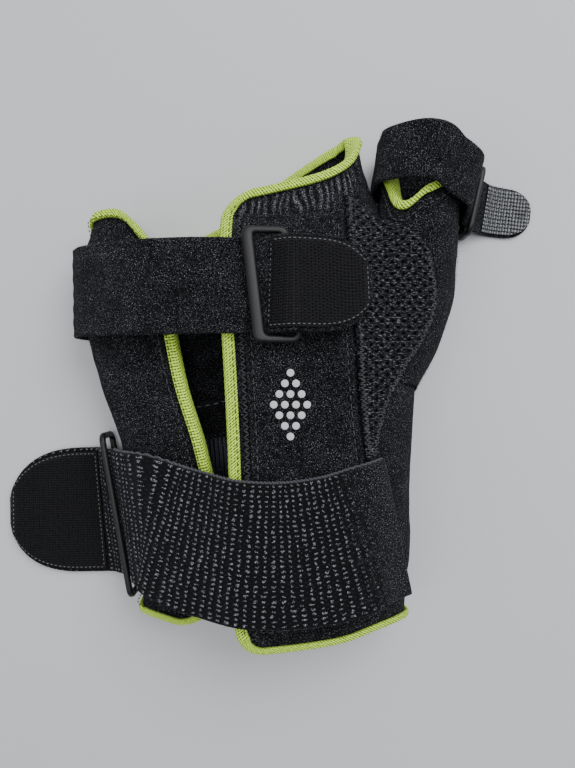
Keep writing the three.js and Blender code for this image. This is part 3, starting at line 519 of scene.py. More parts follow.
def thumb_layout():
    y, drop, half, lean = float(y_of(0.935)), 0.064 * SLEEVE_LENGTH, THUMB_THICKNESS / 2, 12.4
    off = 2 * GAP + TAPE + 0.3 + half
    ring_x = 1.005 * HALF_WIDTH
    ring_z = RING_REACH + KEEPER_RADIUS + 0.8
    tube = {k: float(v) for k, v in measures(SHEATH, y).items()}
    by = lambda angle, out: beside(SHEATH, y, angle, THUMB_WIDTH, out)
    over = lambda share, fall, height, tilt: free(
        tube["middle"] + share * tube["half"], y - fall * drop, tube["top"] + height, tilt
    )
    past = lambda far, fall, z, tilt: free(ring_x + far, y - fall * drop, z, tilt)
    stations = [by(angle, off + 0.25) for angle in (272, 257, 242, 228, 214, 200, 186, 172)] + [
        by(158, off + 1.4),
        by(145, off + 3),
        over(-0.38, 0.02, 5.6, 3),
        over(0.05, 0.12, 6.6, 5),
        over(0.4, 0.4, 4.6, 8),
        over(0.98, 0.78, -0.6, lean),
        past(-2.5, 0.96, ring_z + 5.2, lean),
        past(0, 1, ring_z + 1, lean),
        past(3.4, 1, ring_z - 2.6, lean),
        past(8, 1.02, half + 1.9, lean + 1),
        past(13.5, 1.06, half + 0.05, lean + 2),
        past(THUMB_TAB * 0.75, 1.12, half + 0.05, lean + 4),
        past(THUMB_TAB, 1.18, half + 0.05, lean + 5),
    ]
    ring = {
        "centre": vector(ring_x, y - drop, ring_z),
        "long": leaning(lean),
        "short": UPRIGHT,
        "free": THUMB_WIDTH + RING_CLEARANCE,
    }
    bar = ring["centre"] - UPRIGHT * RING_REACH
    seat = measures(SHEATH, bar[1])
    foot = vector(float(seat["middle"] + seat["half"] * 0.93), bar[1], bar[2])
    keeper = {"bar": bar, "foot": foot, "side": -ring["long"], "width": THUMB_WIDTH * KEEPER_SHARE}
    return Route(stations, 320), ring, keeper


palm_route, palm_ring, palm_keeper = palm_layout()
forearm_route, forearm_ring, forearm_keeper = forearm_layout()
thumb_route, thumb_ring, thumb_keeper = thumb_layout()
PALM = palm_route, PALM_WIDTH, PALM_THICKNESS
FOREARM = forearm_route, FOREARM_WIDTH, FOREARM_THICKNESS
THUMB = thumb_route, THUMB_WIDTH, THUMB_THICKNESS


def design_origin():
    """The design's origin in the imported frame, in millimetres, from the forearm ring and the wrap."""
    low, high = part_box("forearm_ring")
    middle = (np.array(low) + np.array(high)) / 2 / MM
    shift = middle - forearm_ring["centre"]
    return vector(shift[0], shift[1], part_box("wrap")[0][2] / MM)


origin = design_origin()


# Meshes from arrays of millimetre points
def add_object(name, points, faces, corners=None, values=None):
    """A smooth mesh object. corners is one (along, across) pair for each face corner, in millimetres."""
    mesh = bpy.data.meshes.new(name)
    points = (np.asarray(points, float).reshape(-1, 3) + origin) * MM
    mesh.from_pydata(points.tolist(), [], faces)
    if corners is not None:
        layer = mesh.uv_layers.new(name="Cloth")
        layer.data.foreach_set("uv", (np.asarray(corners, float) * MM).astype(np.float32).ravel())
    for key, data in (values or {}).items():
        attribute = mesh.attributes.new(key, "FLOAT", "POINT")
        attribute.data.foreach_set("value", np.asarray(data, np.float32).ravel())
    mesh.polygons.foreach_set("use_smooth", [True] * len(mesh.polygons))
    mesh.validate()
    if volume_of(mesh) < 0:
        mesh.flip_normals()
    mesh.update()
    obj = bpy.data.objects.new(name, mesh)
    bpy.context.scene.collection.objects.link(obj)
    return obj


def volume_of(mesh):
    shell = bmesh.new()
    shell.from_mesh(mesh)
    volume = shell.calc_volume(signed=True)
    shell.free()
    return volume


def loft(name, rings, closed=False, along=None, across=None, caps="fan", values=None):
    """A body through closed rings of points. along and across hold each ring's pattern places."""
    n, k = rings.shape[:2]
    i, j = np.meshgrid(np.arange(n if closed else n - 1), np.arange(k), indexing="ij")
    i1, j1 = (i + 1) % n, (j + 1) % k
    quads = np.stack([i * k + j, i1 * k + j, i1 * k + j1, i * k + j1], axis=-1).reshape(-1, 4)
    faces = quads.tolist()
    corners = None
    if along is not None:
        grow = ((0, n + closed - along.shape[0]), (0, k + 1 - along.shape[1]))
        along, across = np.pad(along, grow, mode="wrap"), np.pad(across, grow, mode="wrap")
        ii = np.stack([i, i + 1, i + 1, i], axis=-1).reshape(-1)
        jj = np.stack([j, j, j + 1, j + 1], axis=-1).reshape(-1)
        corners = np.stack([along[ii, jj], across[ii, jj]], axis=-1)
    if not closed:
        ends = []
        for ring, base in ((0, 0), (n - 1, (n - 1) * k)):
            if caps == "strip":
                half = k // 2
                for a in range(half - 1):
                    quad = [base + a, base + a + 1, base + k - 2 - a, base + k - 1 - a]
                    ends.append((ring, quad if ring == 0 else quad[::-1], base))
            else:
                fan = list(range(base, base + k))
                ends.append((ring, fan if ring == 0 else fan[::-1], base))
        faces += [face for _, face, _ in ends]
        if corners is not None:
            extra = [(along[r, v - b], across[r, v - b]) for r, face, b in ends for v in face]
            corners = np.vstack([corners, np.array(extra)])
    return add_object(name, rings.reshape(-1, 3), faces, corners, values)


def pattern_places(along, across):
    """Grids of pattern places for rings that share one outline."""
    return np.repeat(along[:, None], len(across), 1), np.repeat(across[None, :], len(along), 0)


def sine_noise(x, y, size, seed):
    """Gentle uneven height between -1 and 1, with features of about a size in millimetres."""
    rng = np.random.default_rng(seed)
    total = 0.0
    for _ in range(5):
        turn, phase, scale = rng.uniform(0, 2 * np.pi), rng.uniform(0, 2 * np.pi), rng.uniform(0.7, 1.5)
        way = x * math.cos(turn) + y * math.sin(turn)
        total = total + np.sin(way * 2 * np.pi / (size * scale) + phase)
    return total / 3.2


def put_on(obj, material, *nodes, slot=None, body="root"):
    """Gives a finished piece its material and its body, and hides the solids that it stands for."""
    obj.data.materials.clear()
    obj.data.materials.append(material)
    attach(obj, body)
    if nodes:
        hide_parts(*nodes)
    return obj


# The wrap, the sheath and their bindings
COLUMNS, ROWS = 37, 18
SHEATH_SIDES, SHEATH_ROWS = 26, 13
# Rounded lengths of the cloth in millimetres, for the spacing of what lies on it
WRAP_ROUND, WRAP_RUN, SHEATH_ROUND, SLIT_RUN, CORNER_RUN = 350.0, 150.0, 118.0, 145.0, 5.5
SHEATH_ROOT = float(y_of(0.43))


def spread(k, count, total, border):
    """Place of grid line k of count, the first and last lines being border in from the ends."""
    middle = border + (total - 2 * border) * (k - 1) / (count - 2)
    return np.where(k < 1, border * k, np.where(k > count - 1, total - border * (count - k), middle))


def rounded_corner(p, q, radius):
    a, b = 1 - p / radius, 1 - q / radius
    reach = np.maximum(a, b)
    inside = (a > 0) & (b > 0) & (reach > 1e-6)
    safe_a, safe_b = np.where(inside, a, 1), np.where(inside, b, 1)
    turn = np.where(a > b, safe_b / safe_a * np.pi / 4, np.pi / 2 - safe_a / safe_b * np.pi / 4)
    return (
        np.where(inside, radius * (1 - reach * np.cos(turn)), p),
        np.where(inside, radius * (1 - reach * np.sin(turn)), q),
    )


def wrap_place(i, j):
    """Share round and place along of grid place (i, j) of the wrap, whole or in between."""
    i, j = np.broadcast_arrays(np.asarray(i, float), np.asarray(j, float))
    cuff = y_of(look_up(WRAP_ENDS, "cuff", i / COLUMNS, "round"))
    mouth = y_of(look_up(WRAP_ENDS, "mouth", i / COLUMNS, "round"))
    y = cuff + spread(j, ROWS, mouth - cuff, TAPE_REACH)
    total = skin.length(y)
    p = spread(i, COLUMNS, total, TAPE_REACH)
    near_mouth = mouth - y < y - cuff
    end = np.where(near_mouth, mouth, cuff)
    left = p < total / 2
    radius = np.where(left, SLIT_CORNER, PANEL_CORNER)
    inward, along = rounded_corner(np.minimum(p, total - p), np.abs(end - y), radius)
    y = np.where(near_mouth, end - along, end + along)
    length = skin.length(y)
    return np.where(left, inward, length - inward) / length, y


def wrap_faces(i, j, swell=0.0):
    """Points of the wrap's outer and inner face at grid places, and the normals there."""
    share, y = wrap_place(i, j)
    outer, normal = skin.point(share, y), skin.normal(share, y)
    return outer + normal * np.asarray(swell)[..., None], outer - normal * WALL, normal


def sheath_point(turn, y, outset=0.0):
    m = measures(SHEATH, y)
    x, z = section_point(m, np.pi / 2 + 2 * np.pi * turn, outset)
    return np.stack([x, y + 0 * x, z], axis=-1)


def sheath_faces(i, j):
    i, j = np.broadcast_arrays(np.asarray(i, float), np.asarray(j, float))
    turn = i / SHEATH_SIDES
    mouth = y_of(look_up(SHEATH_MOUTH, "mouth", np.mod(turn, 1), "round"))
    y = SHEATH_ROOT + spread(j, SHEATH_ROWS, mouth - SHEATH_ROOT, TAPE_REACH)
    outer, inner = sheath_point(turn, y), sheath_point(turn, y, -WALL)
    return outer, inner, unit(outer - inner)


def grid_lines(count, fine, border=5):
    """Grid places, finer over the border under the binding."""
    near, far = np.linspace(0, 1, border)[:-1], np.linspace(count - 1, count, border)[1:]
    return np.concatenate([near, np.linspace(1, count - 1, fine), far])


def sheet_body(name, outer, inner, along, across, values=None):
    """A closed sheet between two grids of points. values are stored on its outer face alone."""
    rings = np.concatenate([outer, inner[:, ::-1]], axis=1)
    places = [np.concatenate([grid, grid[:, ::-1]], axis=1) for grid in (along, across)]
    values = {key: np.pad(grid, ((0, 0), (0, grid.shape[1]))) for key, grid in (values or {}).items()}
    return loft(name, rings, False, places[0], places[1], "strip", values)


def cut(obj, cutter):
    """obj less cutter, as one body. The cutter goes."""
    modifier = obj.modifiers.new("Cut", "BOOLEAN")
    modifier.operation = "DIFFERENCE"
    modifier.solver = "MANIFOLD"
    modifier.object = cutter
    graph = bpy.context.evaluated_depsgraph_get()
    evaluated = obj.evaluated_get(graph)
    mesh = bpy.data.meshes.new_from_object(evaluated, preserve_all_data_layers=True, depsgraph=graph)
    obj.modifiers.remove(modifier)
    old, obj.data = obj.data, mesh
    bpy.data.meshes.remove(old)
    bpy.data.objects.remove(cutter)
    keep_largest(mesh)
    return obj


def keep_largest(mesh):
    shell = bmesh.new()
    shell.from_mesh(mesh)
    shell.verts.ensure_lookup_table()
    seen, groups = set(), []
    for vert in shell.verts:
        if vert.index in seen:
            continue
        seen.add(vert.index)
        group, front = [vert], [vert]
        while front:
            for edge in front.pop().link_edges:
                for other in edge.verts:
                    if other.index not in seen:
                        seen.add(other.index)
                        group.append(other)
                        front.append(other)
        groups.append(group)
    largest = max(groups, key=len)
    spare = [vert for group in groups if group is not largest for vert in group]
    bmesh.ops.delete(shell, geom=spare, context="VERTS")
    shell.to_mesh(mesh)
    shell.free()
    mesh.update()


def stack_body(name, rows, low, high, outset):
    """A closed body with the outer shape of a stack of sections."""
    ys = np.linspace(low, high, 60)[:, None]
    m = measures(rows, ys)
    x, z = section_point(m, 2 * np.pi * (np.arange(120)[None, :] + 0.5) / 120, outset)
    return loft(name, np.stack([x, ys + 0 * x, z], axis=-1))


# The gathers below the mouth: the grid column they start at, a column's width, their period and height
GATHER_COLUMN, COLUMN_WIDTH, PLEAT_PERIOD, PLEAT_HEIGHT = 27, 7.6, 3.7, 1.25


def make_wrap(material, softness):
    """The wrap, its outer face softly uneven, with room cut for the thumb's sheath."""
    even = grid_lines(COLUMNS, 108)
    fine = np.linspace(GATHER_COLUMN, COLUMNS - 1, 146)
    lines = np.concatenate([even[even < GATHER_COLUMN], fine, even[even > COLUMNS - 1]])
    i, j = np.meshgrid(lines, grid_lines(ROWS, 110), indexing="ij")
    outer, inner, normal = wrap_faces(i, j)
    steps = np.linalg.norm(np.diff(outer, axis=0), axis=2)
    along = np.concatenate([np.zeros((1, i.shape[1])), np.cumsum(steps, 0)])
    across = outer[..., 1]
    inside = smooth(np.minimum(np.minimum(i, COLUMNS - i), np.minimum(j, ROWS - j)) / 2)
    resting = smooth((outer[..., 2] - 1.0) / 4)
    swell = softness * inside * resting * sine_noise(along, across, 26, 3)
    swell += softness * 0.35 * inside * resting * sine_noise(along, across, 9, 5)
    rounds = i * COLUMN_WIDTH
    reach = 2.05 + 0.35 * sine_noise(rounds, 0 * across, 8, 9)
    gathered = smooth((ROWS - 0.55 - j) / 0.35) * smooth((j - ROWS + reach) / 0.8)
    gathered = gathered * smooth((i - GATHER_COLUMN + 0.5) / 1.5) * resting
    folds = rounds + 1.6 * sine_noise(rounds, across, 11, 6)
    pleats = np.abs(np.sin(np.pi * folds / PLEAT_PERIOD)) ** 0.7 - 0.75
    near_edge = smooth((COLUMNS - 1.2 - i) / 0.6)
    swell = np.minimum(swell, 0.4) + gathered * near_edge * pleats * PLEAT_HEIGHT
    outer = outer + normal * swell[..., None]
    # Masks for painted light on the gathers: a painted highlight on the pleats' tops and painted shade in
    # their hollows
    crest, painted_fold_shade = smooth((pleats + 0.05) / 0.28), smooth((-0.25 - pleats) / 0.4)
    values = {"crest": gathered * crest, "painted_fold_shade": gathered * painted_fold_shade}
    wrap = sheet_body("wrap_cloth", outer, inner, along, across, values)
    cut(wrap, stack_body("thumb_room", SHEATH, SHEATH_ROOT, float(y_of(1.08)), -WALL))
    put_on(wrap, material, "wrap", slot="plush_laminate")
    return wrap


def make_sheath(material, softness):
    """The thumb's tube, ended where it meets the wrap."""
    i, j = np.meshgrid(np.linspace(0, SHEATH_SIDES, 181)[:-1], grid_lines(SHEATH_ROWS, 80), indexing="ij")
    outer, inner, normal = sheath_faces(i, j)
    along = i / SHEATH_SIDES * SHEATH_ROUND
    across = outer[..., 1]
    resting = smooth((outer[..., 2] - 1.0) / 4) * smooth((SHEATH_ROWS - j) / 2)
    turn = i / SHEATH_SIDES * 2 * np.pi
    waves = 0.6 * np.sin(across / 3.4 + 1.7 * np.sin(turn)) + 0.4 * np.sin(across / 6.1 + 2 * turn)
    outer = outer + normal * (softness * resting * waves)[..., None]
    rings = np.concatenate([outer, inner[:, ::-1]], axis=1)
    u, v = (np.concatenate([g, g[:, ::-1]], axis=1) for g in (along, across))
    u, v = np.vstack([u, u[:1] + SHEATH_ROUND]), np.vstack([v, v[:1]])
    u, v = np.hstack([u, u[:, :1]]), np.hstack([v, v[:, :1]])
    sheath = loft("sheath_cloth", rings, True, u, v)
    cut(sheath, stack_body("wrap_room", WRAP, float(y_of(-0.05)), float(y_of(1.05)), GAP * 1.6))
    put_on(sheath, material, "thumb_sheath", slot="plush_laminate")
    return sheath


# A binding's height over the cloth, its rib pitch and height, and the step between its rings
TAPE_SEAT = GAP * 1.4
RIB_PITCH, RIB_LIFT, TAPE_STEP = 2.1, 0.09, 0.62
# How far each side of a binding rises towards its fold, as (share of its reach, share of its thickness)
TAPE_RISES = [(0.0, 0.42), (0.06, 0.76), (0.18, 0.95), (0.4, 1.04), (0.7, 1.02), (1.0, 0.94)]
FOLD_TURNS = [68, 46, 24, 0, -24, -46, -68]


def tape_rings(edge, inner, puff, begin):
    """Rings of a puffy tape folded over an edge.

    edge and inner hold outer points, inner points and normals, and begin the share of the reach that
    each ring leaves bare.
    """
    begin = np.broadcast_to(np.asarray(begin, float).reshape(-1, 1), (len(edge[0]), 1))
    outward = edge[0] - inner[0]
    outward = unit(outward - edge[2] * np.sum(outward * edge[2], axis=1, keepdims=True))
    near, under = TAPE_SEAT, GAP * 2.2

    def over(face, way):
        def place(share, height, out=0.0):
            share = begin + (1 - begin) * share
            base = inner[face] * (1 - share) + edge[face] * share
            lean = unit(inner[2] * (1 - share) + edge[2] * share)
            return base + lean * height * way + outward * out

        return place

    above, below = over(0, 1), over(1, -1)
    body = TAPE + puff
    upper = [above(share, near + TAPE * rise + puff * rise) for share, rise in TAPE_RISES]
    lower = [below(share, under + TAPE * rise) for share, rise in TAPE_RISES]
    middle = (edge[0] + edge[1]) / 2
    top, low = WALL / 2 + near + body * 0.94, WALL / 2 + under + TAPE * 0.94
    nose = []
    for turn in np.radians(FOLD_TURNS):
        height = (top if turn >= 0 else low) * math.sin(turn)
        out = (near + TAPE * 0.8 + 0.1) * math.cos(turn) ** 0.8
        nose.append(middle + edge[2] * height + outward * out)
    hollow = [below(0, under), below(1, under, near), above(1, near, near), above(0, near)]
    return np.stack(upper + nose + lower[::-1] + hollow, axis=1)


def tape_body(name, rings):
    """A closed tape with its knit lifted as slanting ribs."""
    fold = len(TAPE_RISES) + len(FOLD_TURNS) // 2
    last = 2 * fold
    along = run_of(rings[:, fold], closed=True)
    mean = np.concatenate([[0], np.cumsum(np.linalg.norm(np.diff(rings, axis=1), axis=2).mean(axis=0))])
    across = mean - mean[fold]
    count = max(round(along[-1] / RIB_PITCH), 8)
    phase = along[:-1, None] / along[-1] * count
    slant = np.abs(across[None, :]) * 0.32 / RIB_PITCH
    rib = np.cos(2 * np.pi * (phase + slant)) * RIB_LIFT
    rib[:, last + 1 :] = 0
    rib[:, [0, last]] *= 0.3
    core = rings.mean(axis=1, keepdims=True)
    rings = rings + unit(rings - core) * rib[..., None]
    u, v = pattern_places(along, np.append(across, across[-1] + 2))
    return loft(name, rings, True, u, v)


def wrap_edge_path():
    """Grid places round the wrap's edge, and the places a tape's reach inside them."""
    c, r = COLUMNS, ROWS
    across = np.linspace(1, c - 1, int(WRAP_ROUND / TAPE_STEP))
    up = np.linspace(1, r - 1, int(SLIT_RUN / TAPE_STEP))
    few = np.linspace(0, 1, int(CORNER_RUN / TAPE_STEP) + 2)[1:]
    edge, inner = [], []

    def add(i, j, k, l):
        i, j, k, l = np.broadcast_arrays(*(np.atleast_1d(np.asarray(v, float)) for v in (i, j, k, l)))
        edge.append(np.stack([i, j], axis=1))
        inner.append(np.stack([k, l], axis=1))

    add(across, r, across, r - 1)
    add(c - 1 + few, r, c - 1, r - 1)
    add(c, r - few, c - 1, r - 1)
    add(c, up[::-1][1:], c - 1, up[::-1][1:])
    add(c, 1 - few, c - 1, 1)
    add(c - few, 0, c - 1, 1)
    add(across[::-1][1:], 0, across[::-1][1:], 1)
    add(1 - few, 0, 1, 1)
    add(0, few, 1, 1)
    add(0, up[1:], 1, up[1:])
    add(0, r - 1 + few, 1, r - 1)
    add(few[:-1], r, 1, r - 1)
    return np.vstack(edge), np.vstack(inner)


# Share of the reach that the wrap's binding leaves bare at the mouth, the cuff and the slit
BARE_MOUTH, BARE_CUFF, BARE_SLIT = 0.46, 0.66, 0.3


def make_wrap_binding(material, puff):
    edge, inner = wrap_edge_path()
    j = edge[:, 1]
    begin = np.where(j > ROWS - 0.01, BARE_MOUTH, np.where(j < 0.01, BARE_CUFF, BARE_SLIT))
    window = np.hanning(41) / np.hanning(41).sum()
    begin = np.convolve(np.pad(begin, 20, mode="wrap"), window, mode="valid")
    rings = tape_rings(wrap_faces(*edge.T), wrap_faces(*inner.T), puff, begin)
    rings[..., 2] = np.maximum(rings[..., 2], 0.0)
    tape = tape_body("wrap_tape", rings)
    return put_on(tape, material, "wrap_binding", slot="knitted_binding")


def make_thumb_binding(material, puff):
    i = np.linspace(0, SHEATH_SIDES, 211)[:-1]
    rings = tape_rings(sheath_faces(i, SHEATH_ROWS), sheath_faces(i, SHEATH_ROWS - 1), puff, 0.5)
    tape = tape_body("thumb_tape", rings)
    return put_on(tape, material, "thumb_binding", slot="knitted_binding")


# Panels laid on the front: their ends as shares of the sleeve, and the pocket's seam, stitches and size
LEAF_FROM, LEAF_TO = 0.36, 0.86
POCKET_FROM, POCKET_TO = 0.085, 0.815
POCKET_INSET, POCKET_SEAM, POCKET_STITCH = TAPE_REACH + 2.2, 1.2, 2.2
POCKET_LENGTH, POCKET_WIDTH = 137.0, 38.0


def leaf_place(across, along):
    at = LEAF_FROM + (LEAF_TO - LEAF_FROM) * along
    left, right = look_up(LEAF_SIDES, "left", at), look_up(LEAF_SIDES, "right", at)
    end = look_up(LEAF_TOP, "at", across, "across")
    return (left + (right - left) * across) * HALF_WIDTH, y_of(LEAF_FROM + (end - LEAF_FROM) * along)


def pocket_place(across, along):
    at = POCKET_FROM + (POCKET_TO - POCKET_FROM) * along
    left = look_up(WRAP, "slit_right", at) * HALF_WIDTH + POCKET_INSET
    edge = look_up(LEAF_SIDES, "left", np.maximum(at, LEAF_FROM)) * HALF_WIDTH
    return left + (edge - POCKET_SEAM - left) * across, y_of(at)


def overlay_body(name, place, columns, rows, thickness, relief):
    """A panel over the front, raised by relief(x, y, millimetres to the rim, share across)."""
    across, along = np.meshgrid(np.linspace(0, 1, columns), np.linspace(0, 1, rows), indexing="ij")
    x, y = place(across, along)
    width = x[-1] - x[0]
    length = y[:, -1] - y[:, 0]
    rim = np.minimum(
        np.minimum(across, 1 - across) * width[None, :], np.minimum(along, 1 - along) * length[:, None]
    )
    base = front_height(x, y) + OVERLAY_GAP
    tuck = 1 - 0.55 * (1 - smooth(rim / 1.4)) ** 2
    top = base + thickness * tuck + relief(x, y, rim, across)
    upper, lower = np.stack([x, y, top], -1), np.stack([x, y, base], -1)
    return sheet_body(name, upper, lower, x, y)


# Spacing of the mesh's rows as a share of its pitch, and a hole's half width and half height
ROW_SHARE, HOLE_WIDE, HOLE_HIGH = 0.54, 0.84, 0.62


def make_mesh_panel(material, pitch, depth):
    """The leaf of spacer mesh, its staggered holes pressed in."""

    def relief(x, y, rim, across):
        row = y / (pitch * ROW_SHARE)
        shift = np.where(np.mod(np.floor(row), 2) < 1, 0, 0.5)
        dx = (np.mod(x / pitch + shift, 1) - 0.5) * pitch / HOLE_WIDE
        dy = (np.mod(row, 1) - 0.5) * pitch * ROW_SHARE / HOLE_HIGH
        far = np.hypot(dx, dy)
        hole = smooth((1.25 - far) / 0.9)
        rib = np.exp(-(((far - 1.45) / 0.35) ** 2)) * 0.2
        bead = np.exp(-(((across * 30 - 1.1) / 0.9) ** 2)) * (0.5 + 0.12 * np.sin(2 * np.pi * y / 1.5))
        inside = smooth((rim - 2.2) / 0.8)
        return (rib - depth * hole) * inside + bead * smooth(rim / 0.6) + 0.15 * sine_noise(x, y, 19, 8)

    panel = overlay_body("mesh_cloth", leaf_place, 88, 215, MESH_THICKNESS, relief)
    return put_on(panel, material, "mesh_panel", slot="spacer_mesh")


def pocket_swell(x, y, across, softness):
    """How far the stay and the cloth's unevenness lift the pocket, and its inner seam draws it down."""
    seam = np.exp(-(((across - 0.64) / 0.018) ** 2)) * 0.5
    return smooth(1 - np.abs(across - 0.34) / 0.4) * 0.5 - seam + softness * sine_noise(x, y, 17, 12)


def make_stay_pocket(material, softness):
    """The stay's pocket, pulled down along its sewn seams."""

    def relief(x, y, rim, across):
        seams = np.exp(-(((rim - POCKET_STITCH) / 0.7) ** 2)) * 0.42
        return pocket_swell(x, y, across, softness) * smooth(rim / 4) - seams

    pocket = overlay_body("pocket_cloth", pocket_place, 60, 150, POCKET_THICKNESS, relief)
    return put_on(pocket, material, "stay_pocket", slot="plush_laminate")


# Straps, with the length of a tab's round end as a share of its width
TAB_ROUND = 0.62


def end_widths(left, width):
    """A strap's width where a length is left to its round end."""
    share = np.clip(1 - left / (width * TAB_ROUND), 0, 1)
    return width * np.maximum((1 - share**2.6) ** (1 / 2.2), 0.22)


def profile(width, thickness, edge, count):
    """Half-round edged outline of a strap: places across and heights, the upper side first."""
    turn = np.radians(np.linspace(90, -90, 9))
    flat = np.linspace(-1, 1, count)[:-1] * (width / 2 - edge)
    right = np.stack([width / 2 - edge + edge * np.cos(turn), thickness / 2 * np.sin(turn)], 1)
    upper = np.stack([flat, np.full(len(flat), thickness / 2)], 1)
    lower = np.stack([-flat, np.full(len(flat), -thickness / 2)], 1)
    left = np.stack([-right[:, 0], -right[:, 1]], 1)
    return np.vstack([upper, right, lower, left])


def strap_body(name, route, width, thickness, edge, count, relief):
    """A strap along its route. relief gives the swell of both faces from the run and the place across."""
    left = route.length - route.run
    widths = end_widths(left, width)
    outline = profile(width, thickness, edge, count)
    side = outline[:, 0][None, :] * (widths / width)[:, None]
    face = np.sign(outline[:, 1]) * np.abs(outline[:, 1] / (thickness / 2)) ** 2
    to_end = np.clip(np.minimum(left, route.run) / (thickness * 0.6), 0, 1)
    end_round = np.sqrt(np.clip(1 - (1 - to_end) ** 2, 0.02, 1))
    height = outline[:, 1][None, :] * end_round[:, None]
    swell = relief(route.run[:, None], side, left[:, None])
    height = height + face[None, :] * swell
    run = np.repeat(route.run[:, None], len(outline), 1)
    rings = route.at(run, side, height)
    rings[..., 2] = np.maximum(rings[..., 2], 0.02)
    span = run_of(outline)
    u, v = pattern_places(np.append(route.run, route.length), np.append(span, span[-1] + edge) - width / 2)
    return loft(name, rings, False, u[:-1], v[:-1])


def make_palm_strap(material, softness):
    def relief(run, side, left):
        ribs = 0.1 * np.cos(2 * np.pi * side / 5.4) * smooth(left / 8)
        return ribs + softness * 0.5 * sine_noise(run + 0 * side, side, 14, 21)

    strap = strap_body("palm_webbing", *PALM, 0.9, 44, relief)
    return put_on(strap, material, "palm_strap", slot="plush_laminate")


def make_forearm_strap(material, softness):
    def relief(run, side, left):
        columns = 0.14 * np.sin(2 * np.pi * run / 2.8) * smooth((run - 9) / 10)
        return columns + softness * 0.4 * sine_noise(run + 0 * side, side, 20, 22)

    strap = strap_body("forearm_webbing", *FOREARM, 1.0, 72, relief)
    return put_on(strap, material, "forearm_strap", slot="knitted_elastic")


def make_thumb_strap(material, softness):
    def relief(run, side, left):
        return softness * 0.4 * sine_noise(run + 0 * side, side, 12, 23)

    strap = strap_body("thumb_webbing", *THUMB, 0.8, 32, relief)
    return put_on(strap, material, "thumb_strap", slot="plush_laminate")


# Hook patches
HOOK_HEIGHT, HOOK_RADIUS = 0.7, 0.34


class Patch:
    """Where a hook patch lies on a strap's tab."""

    def __init__(self, route, width, thickness, tab, setback, margin):
        self.route, self.margin = route, margin
        self.start, self.stop = route.length - tab + setback, route.length - margin
        self.strap_width = width
        middle = route.at((self.start + self.stop) / 2, 0, 1) - route.at((self.start + self.stop) / 2, 0, 0)
        self.sign = 1.0 if middle[2] > 0 else -1.0
        self.base = thickness / 2 + GAP + 0.1

    def width(self, run):
        left = self.route.length - run
        return np.maximum(end_widths(left, self.strap_width) - 2 * self.margin, 3)

    def at(self, run, side, height):
        return self.route.at(run, side, self.sign * (self.base + np.asarray(height, float)))


PATCHES = {
    "palm_hook_patch": Patch(*PALM, PALM_TAB, -8.5, 1.5),
    "forearm_hook_patch": Patch(*FOREARM, FOREARM_TAB, 8, 1.6),
    "thumb_hook_patch": Patch(*THUMB, THUMB_TAB, 5, 1.0),
}


def patch_body(name, patch):
    """The patch's tape, thin at its sewn rim."""
    run = np.linspace(patch.start, patch.stop, 44)[:, None]
    share = np.linspace(-1, 1, 41)[None, :]
    side = share * patch.width(run) / 2
    to_side = (1 - np.abs(share)) * patch.width(run) / 2
    rim = np.minimum(np.minimum(run - patch.start, patch.stop - run), to_side)
    height = HOOK_THICKNESS * (0.35 + 0.25 * smooth(rim / 1.2)) + 0 * side
    run = run + 0 * side
    return sheet_body(name, patch.at(run, side, height), patch.at(run, side, 0), run, side)


def hook_places(patch, pitch):
    """Points of the patch's hooks with the direction each stands in."""
    count = int((patch.stop - patch.start - 3) / pitch)
    runs = patch.start + 1.5 + pitch * np.arange(count + 1)
    points, normals = [], []
    for k, run in enumerate(runs):
        reach = float(patch.width(run)) / 2 - 1.5
        sides = np.arange(-reach + (k % 2) * pitch / 2, reach, pitch)
        low, high = patch.at(run + 0 * sides, sides, 0.5), patch.at(run + 0 * sides, sides, 1.5)
        points.append(low)
        normals.append(high - low)
    return np.vstack(points), np.vstack(normals)


# Rings and keepers: a ring's corner, its points and sides, and how far the palm ring's bar is widened
RING_CORNER, RING_STEPS, BAR_SIDES = 2.6, 260, 20
PALM_BAR_WIDER = 1.7


def ring_body(name, ring, bar_swell, wide=0.0):
    """A rounded rectangle of bar, one long bar flattened and widened outwards by wide."""
    half_long, half_short, corner = (ring["free"] + RING_BAR) / 2, RING_REACH, RING_CORNER
    facing = np.cross(ring["long"], ring["short"])
    centres, outs = [], []
    for sx, sy, start in ((1, 1, 0), (-1, 1, 90), (-1, -1, 180), (1, -1, 270)):
        for turn in np.radians(start + np.linspace(0, 90, 13)):
            out = ring["long"] * math.cos(turn) + ring["short"] * math.sin(turn)
            centre = ring["centre"] + ring["long"] * sx * (half_long - corner)
            centres.append(centre + ring["short"] * sy * (half_short - corner) + out * corner)
            outs.append(out)
    centres, outs = np.array(centres), np.array(outs)
    closed_run = run_of(centres, closed=True)
    fine = np.linspace(0, closed_run[-1], RING_STEPS + 1)[:-1]
    again = np.vstack([centres, centres[:1]]), np.vstack([outs, outs[:1]])
    centres, outs = (placed(fine, closed_run, points) for points in again)
    outs = unit(outs)
    turns = 2 * np.pi * np.arange(BAR_SIDES) / BAR_SIDES
    across = power(np.cos(turns), 0.8) * RING_BAR / 2
    out_of = power(np.sin(turns), 0.8) * RING_BAR / 2 * bar_swell
    flat = smooth((-(outs @ ring["short"]) - 0.2) / 0.8)[:, None, None] * wide
    shift = outs[:, None] * flat * 0.5
    rings = centres[:, None] + outs[:, None] * across[None, :, None] * (1 + flat / RING_BAR)
    rings = rings + shift + facing * out_of[None, :, None]
    shares = np.arange(RING_STEPS + 1) / RING_STEPS
    u, v = pattern_places(closed_run[-1] * shares, np.linspace(0, 7.5, BAR_SIDES + 1))
    return loft(name, rings, True, u, v)


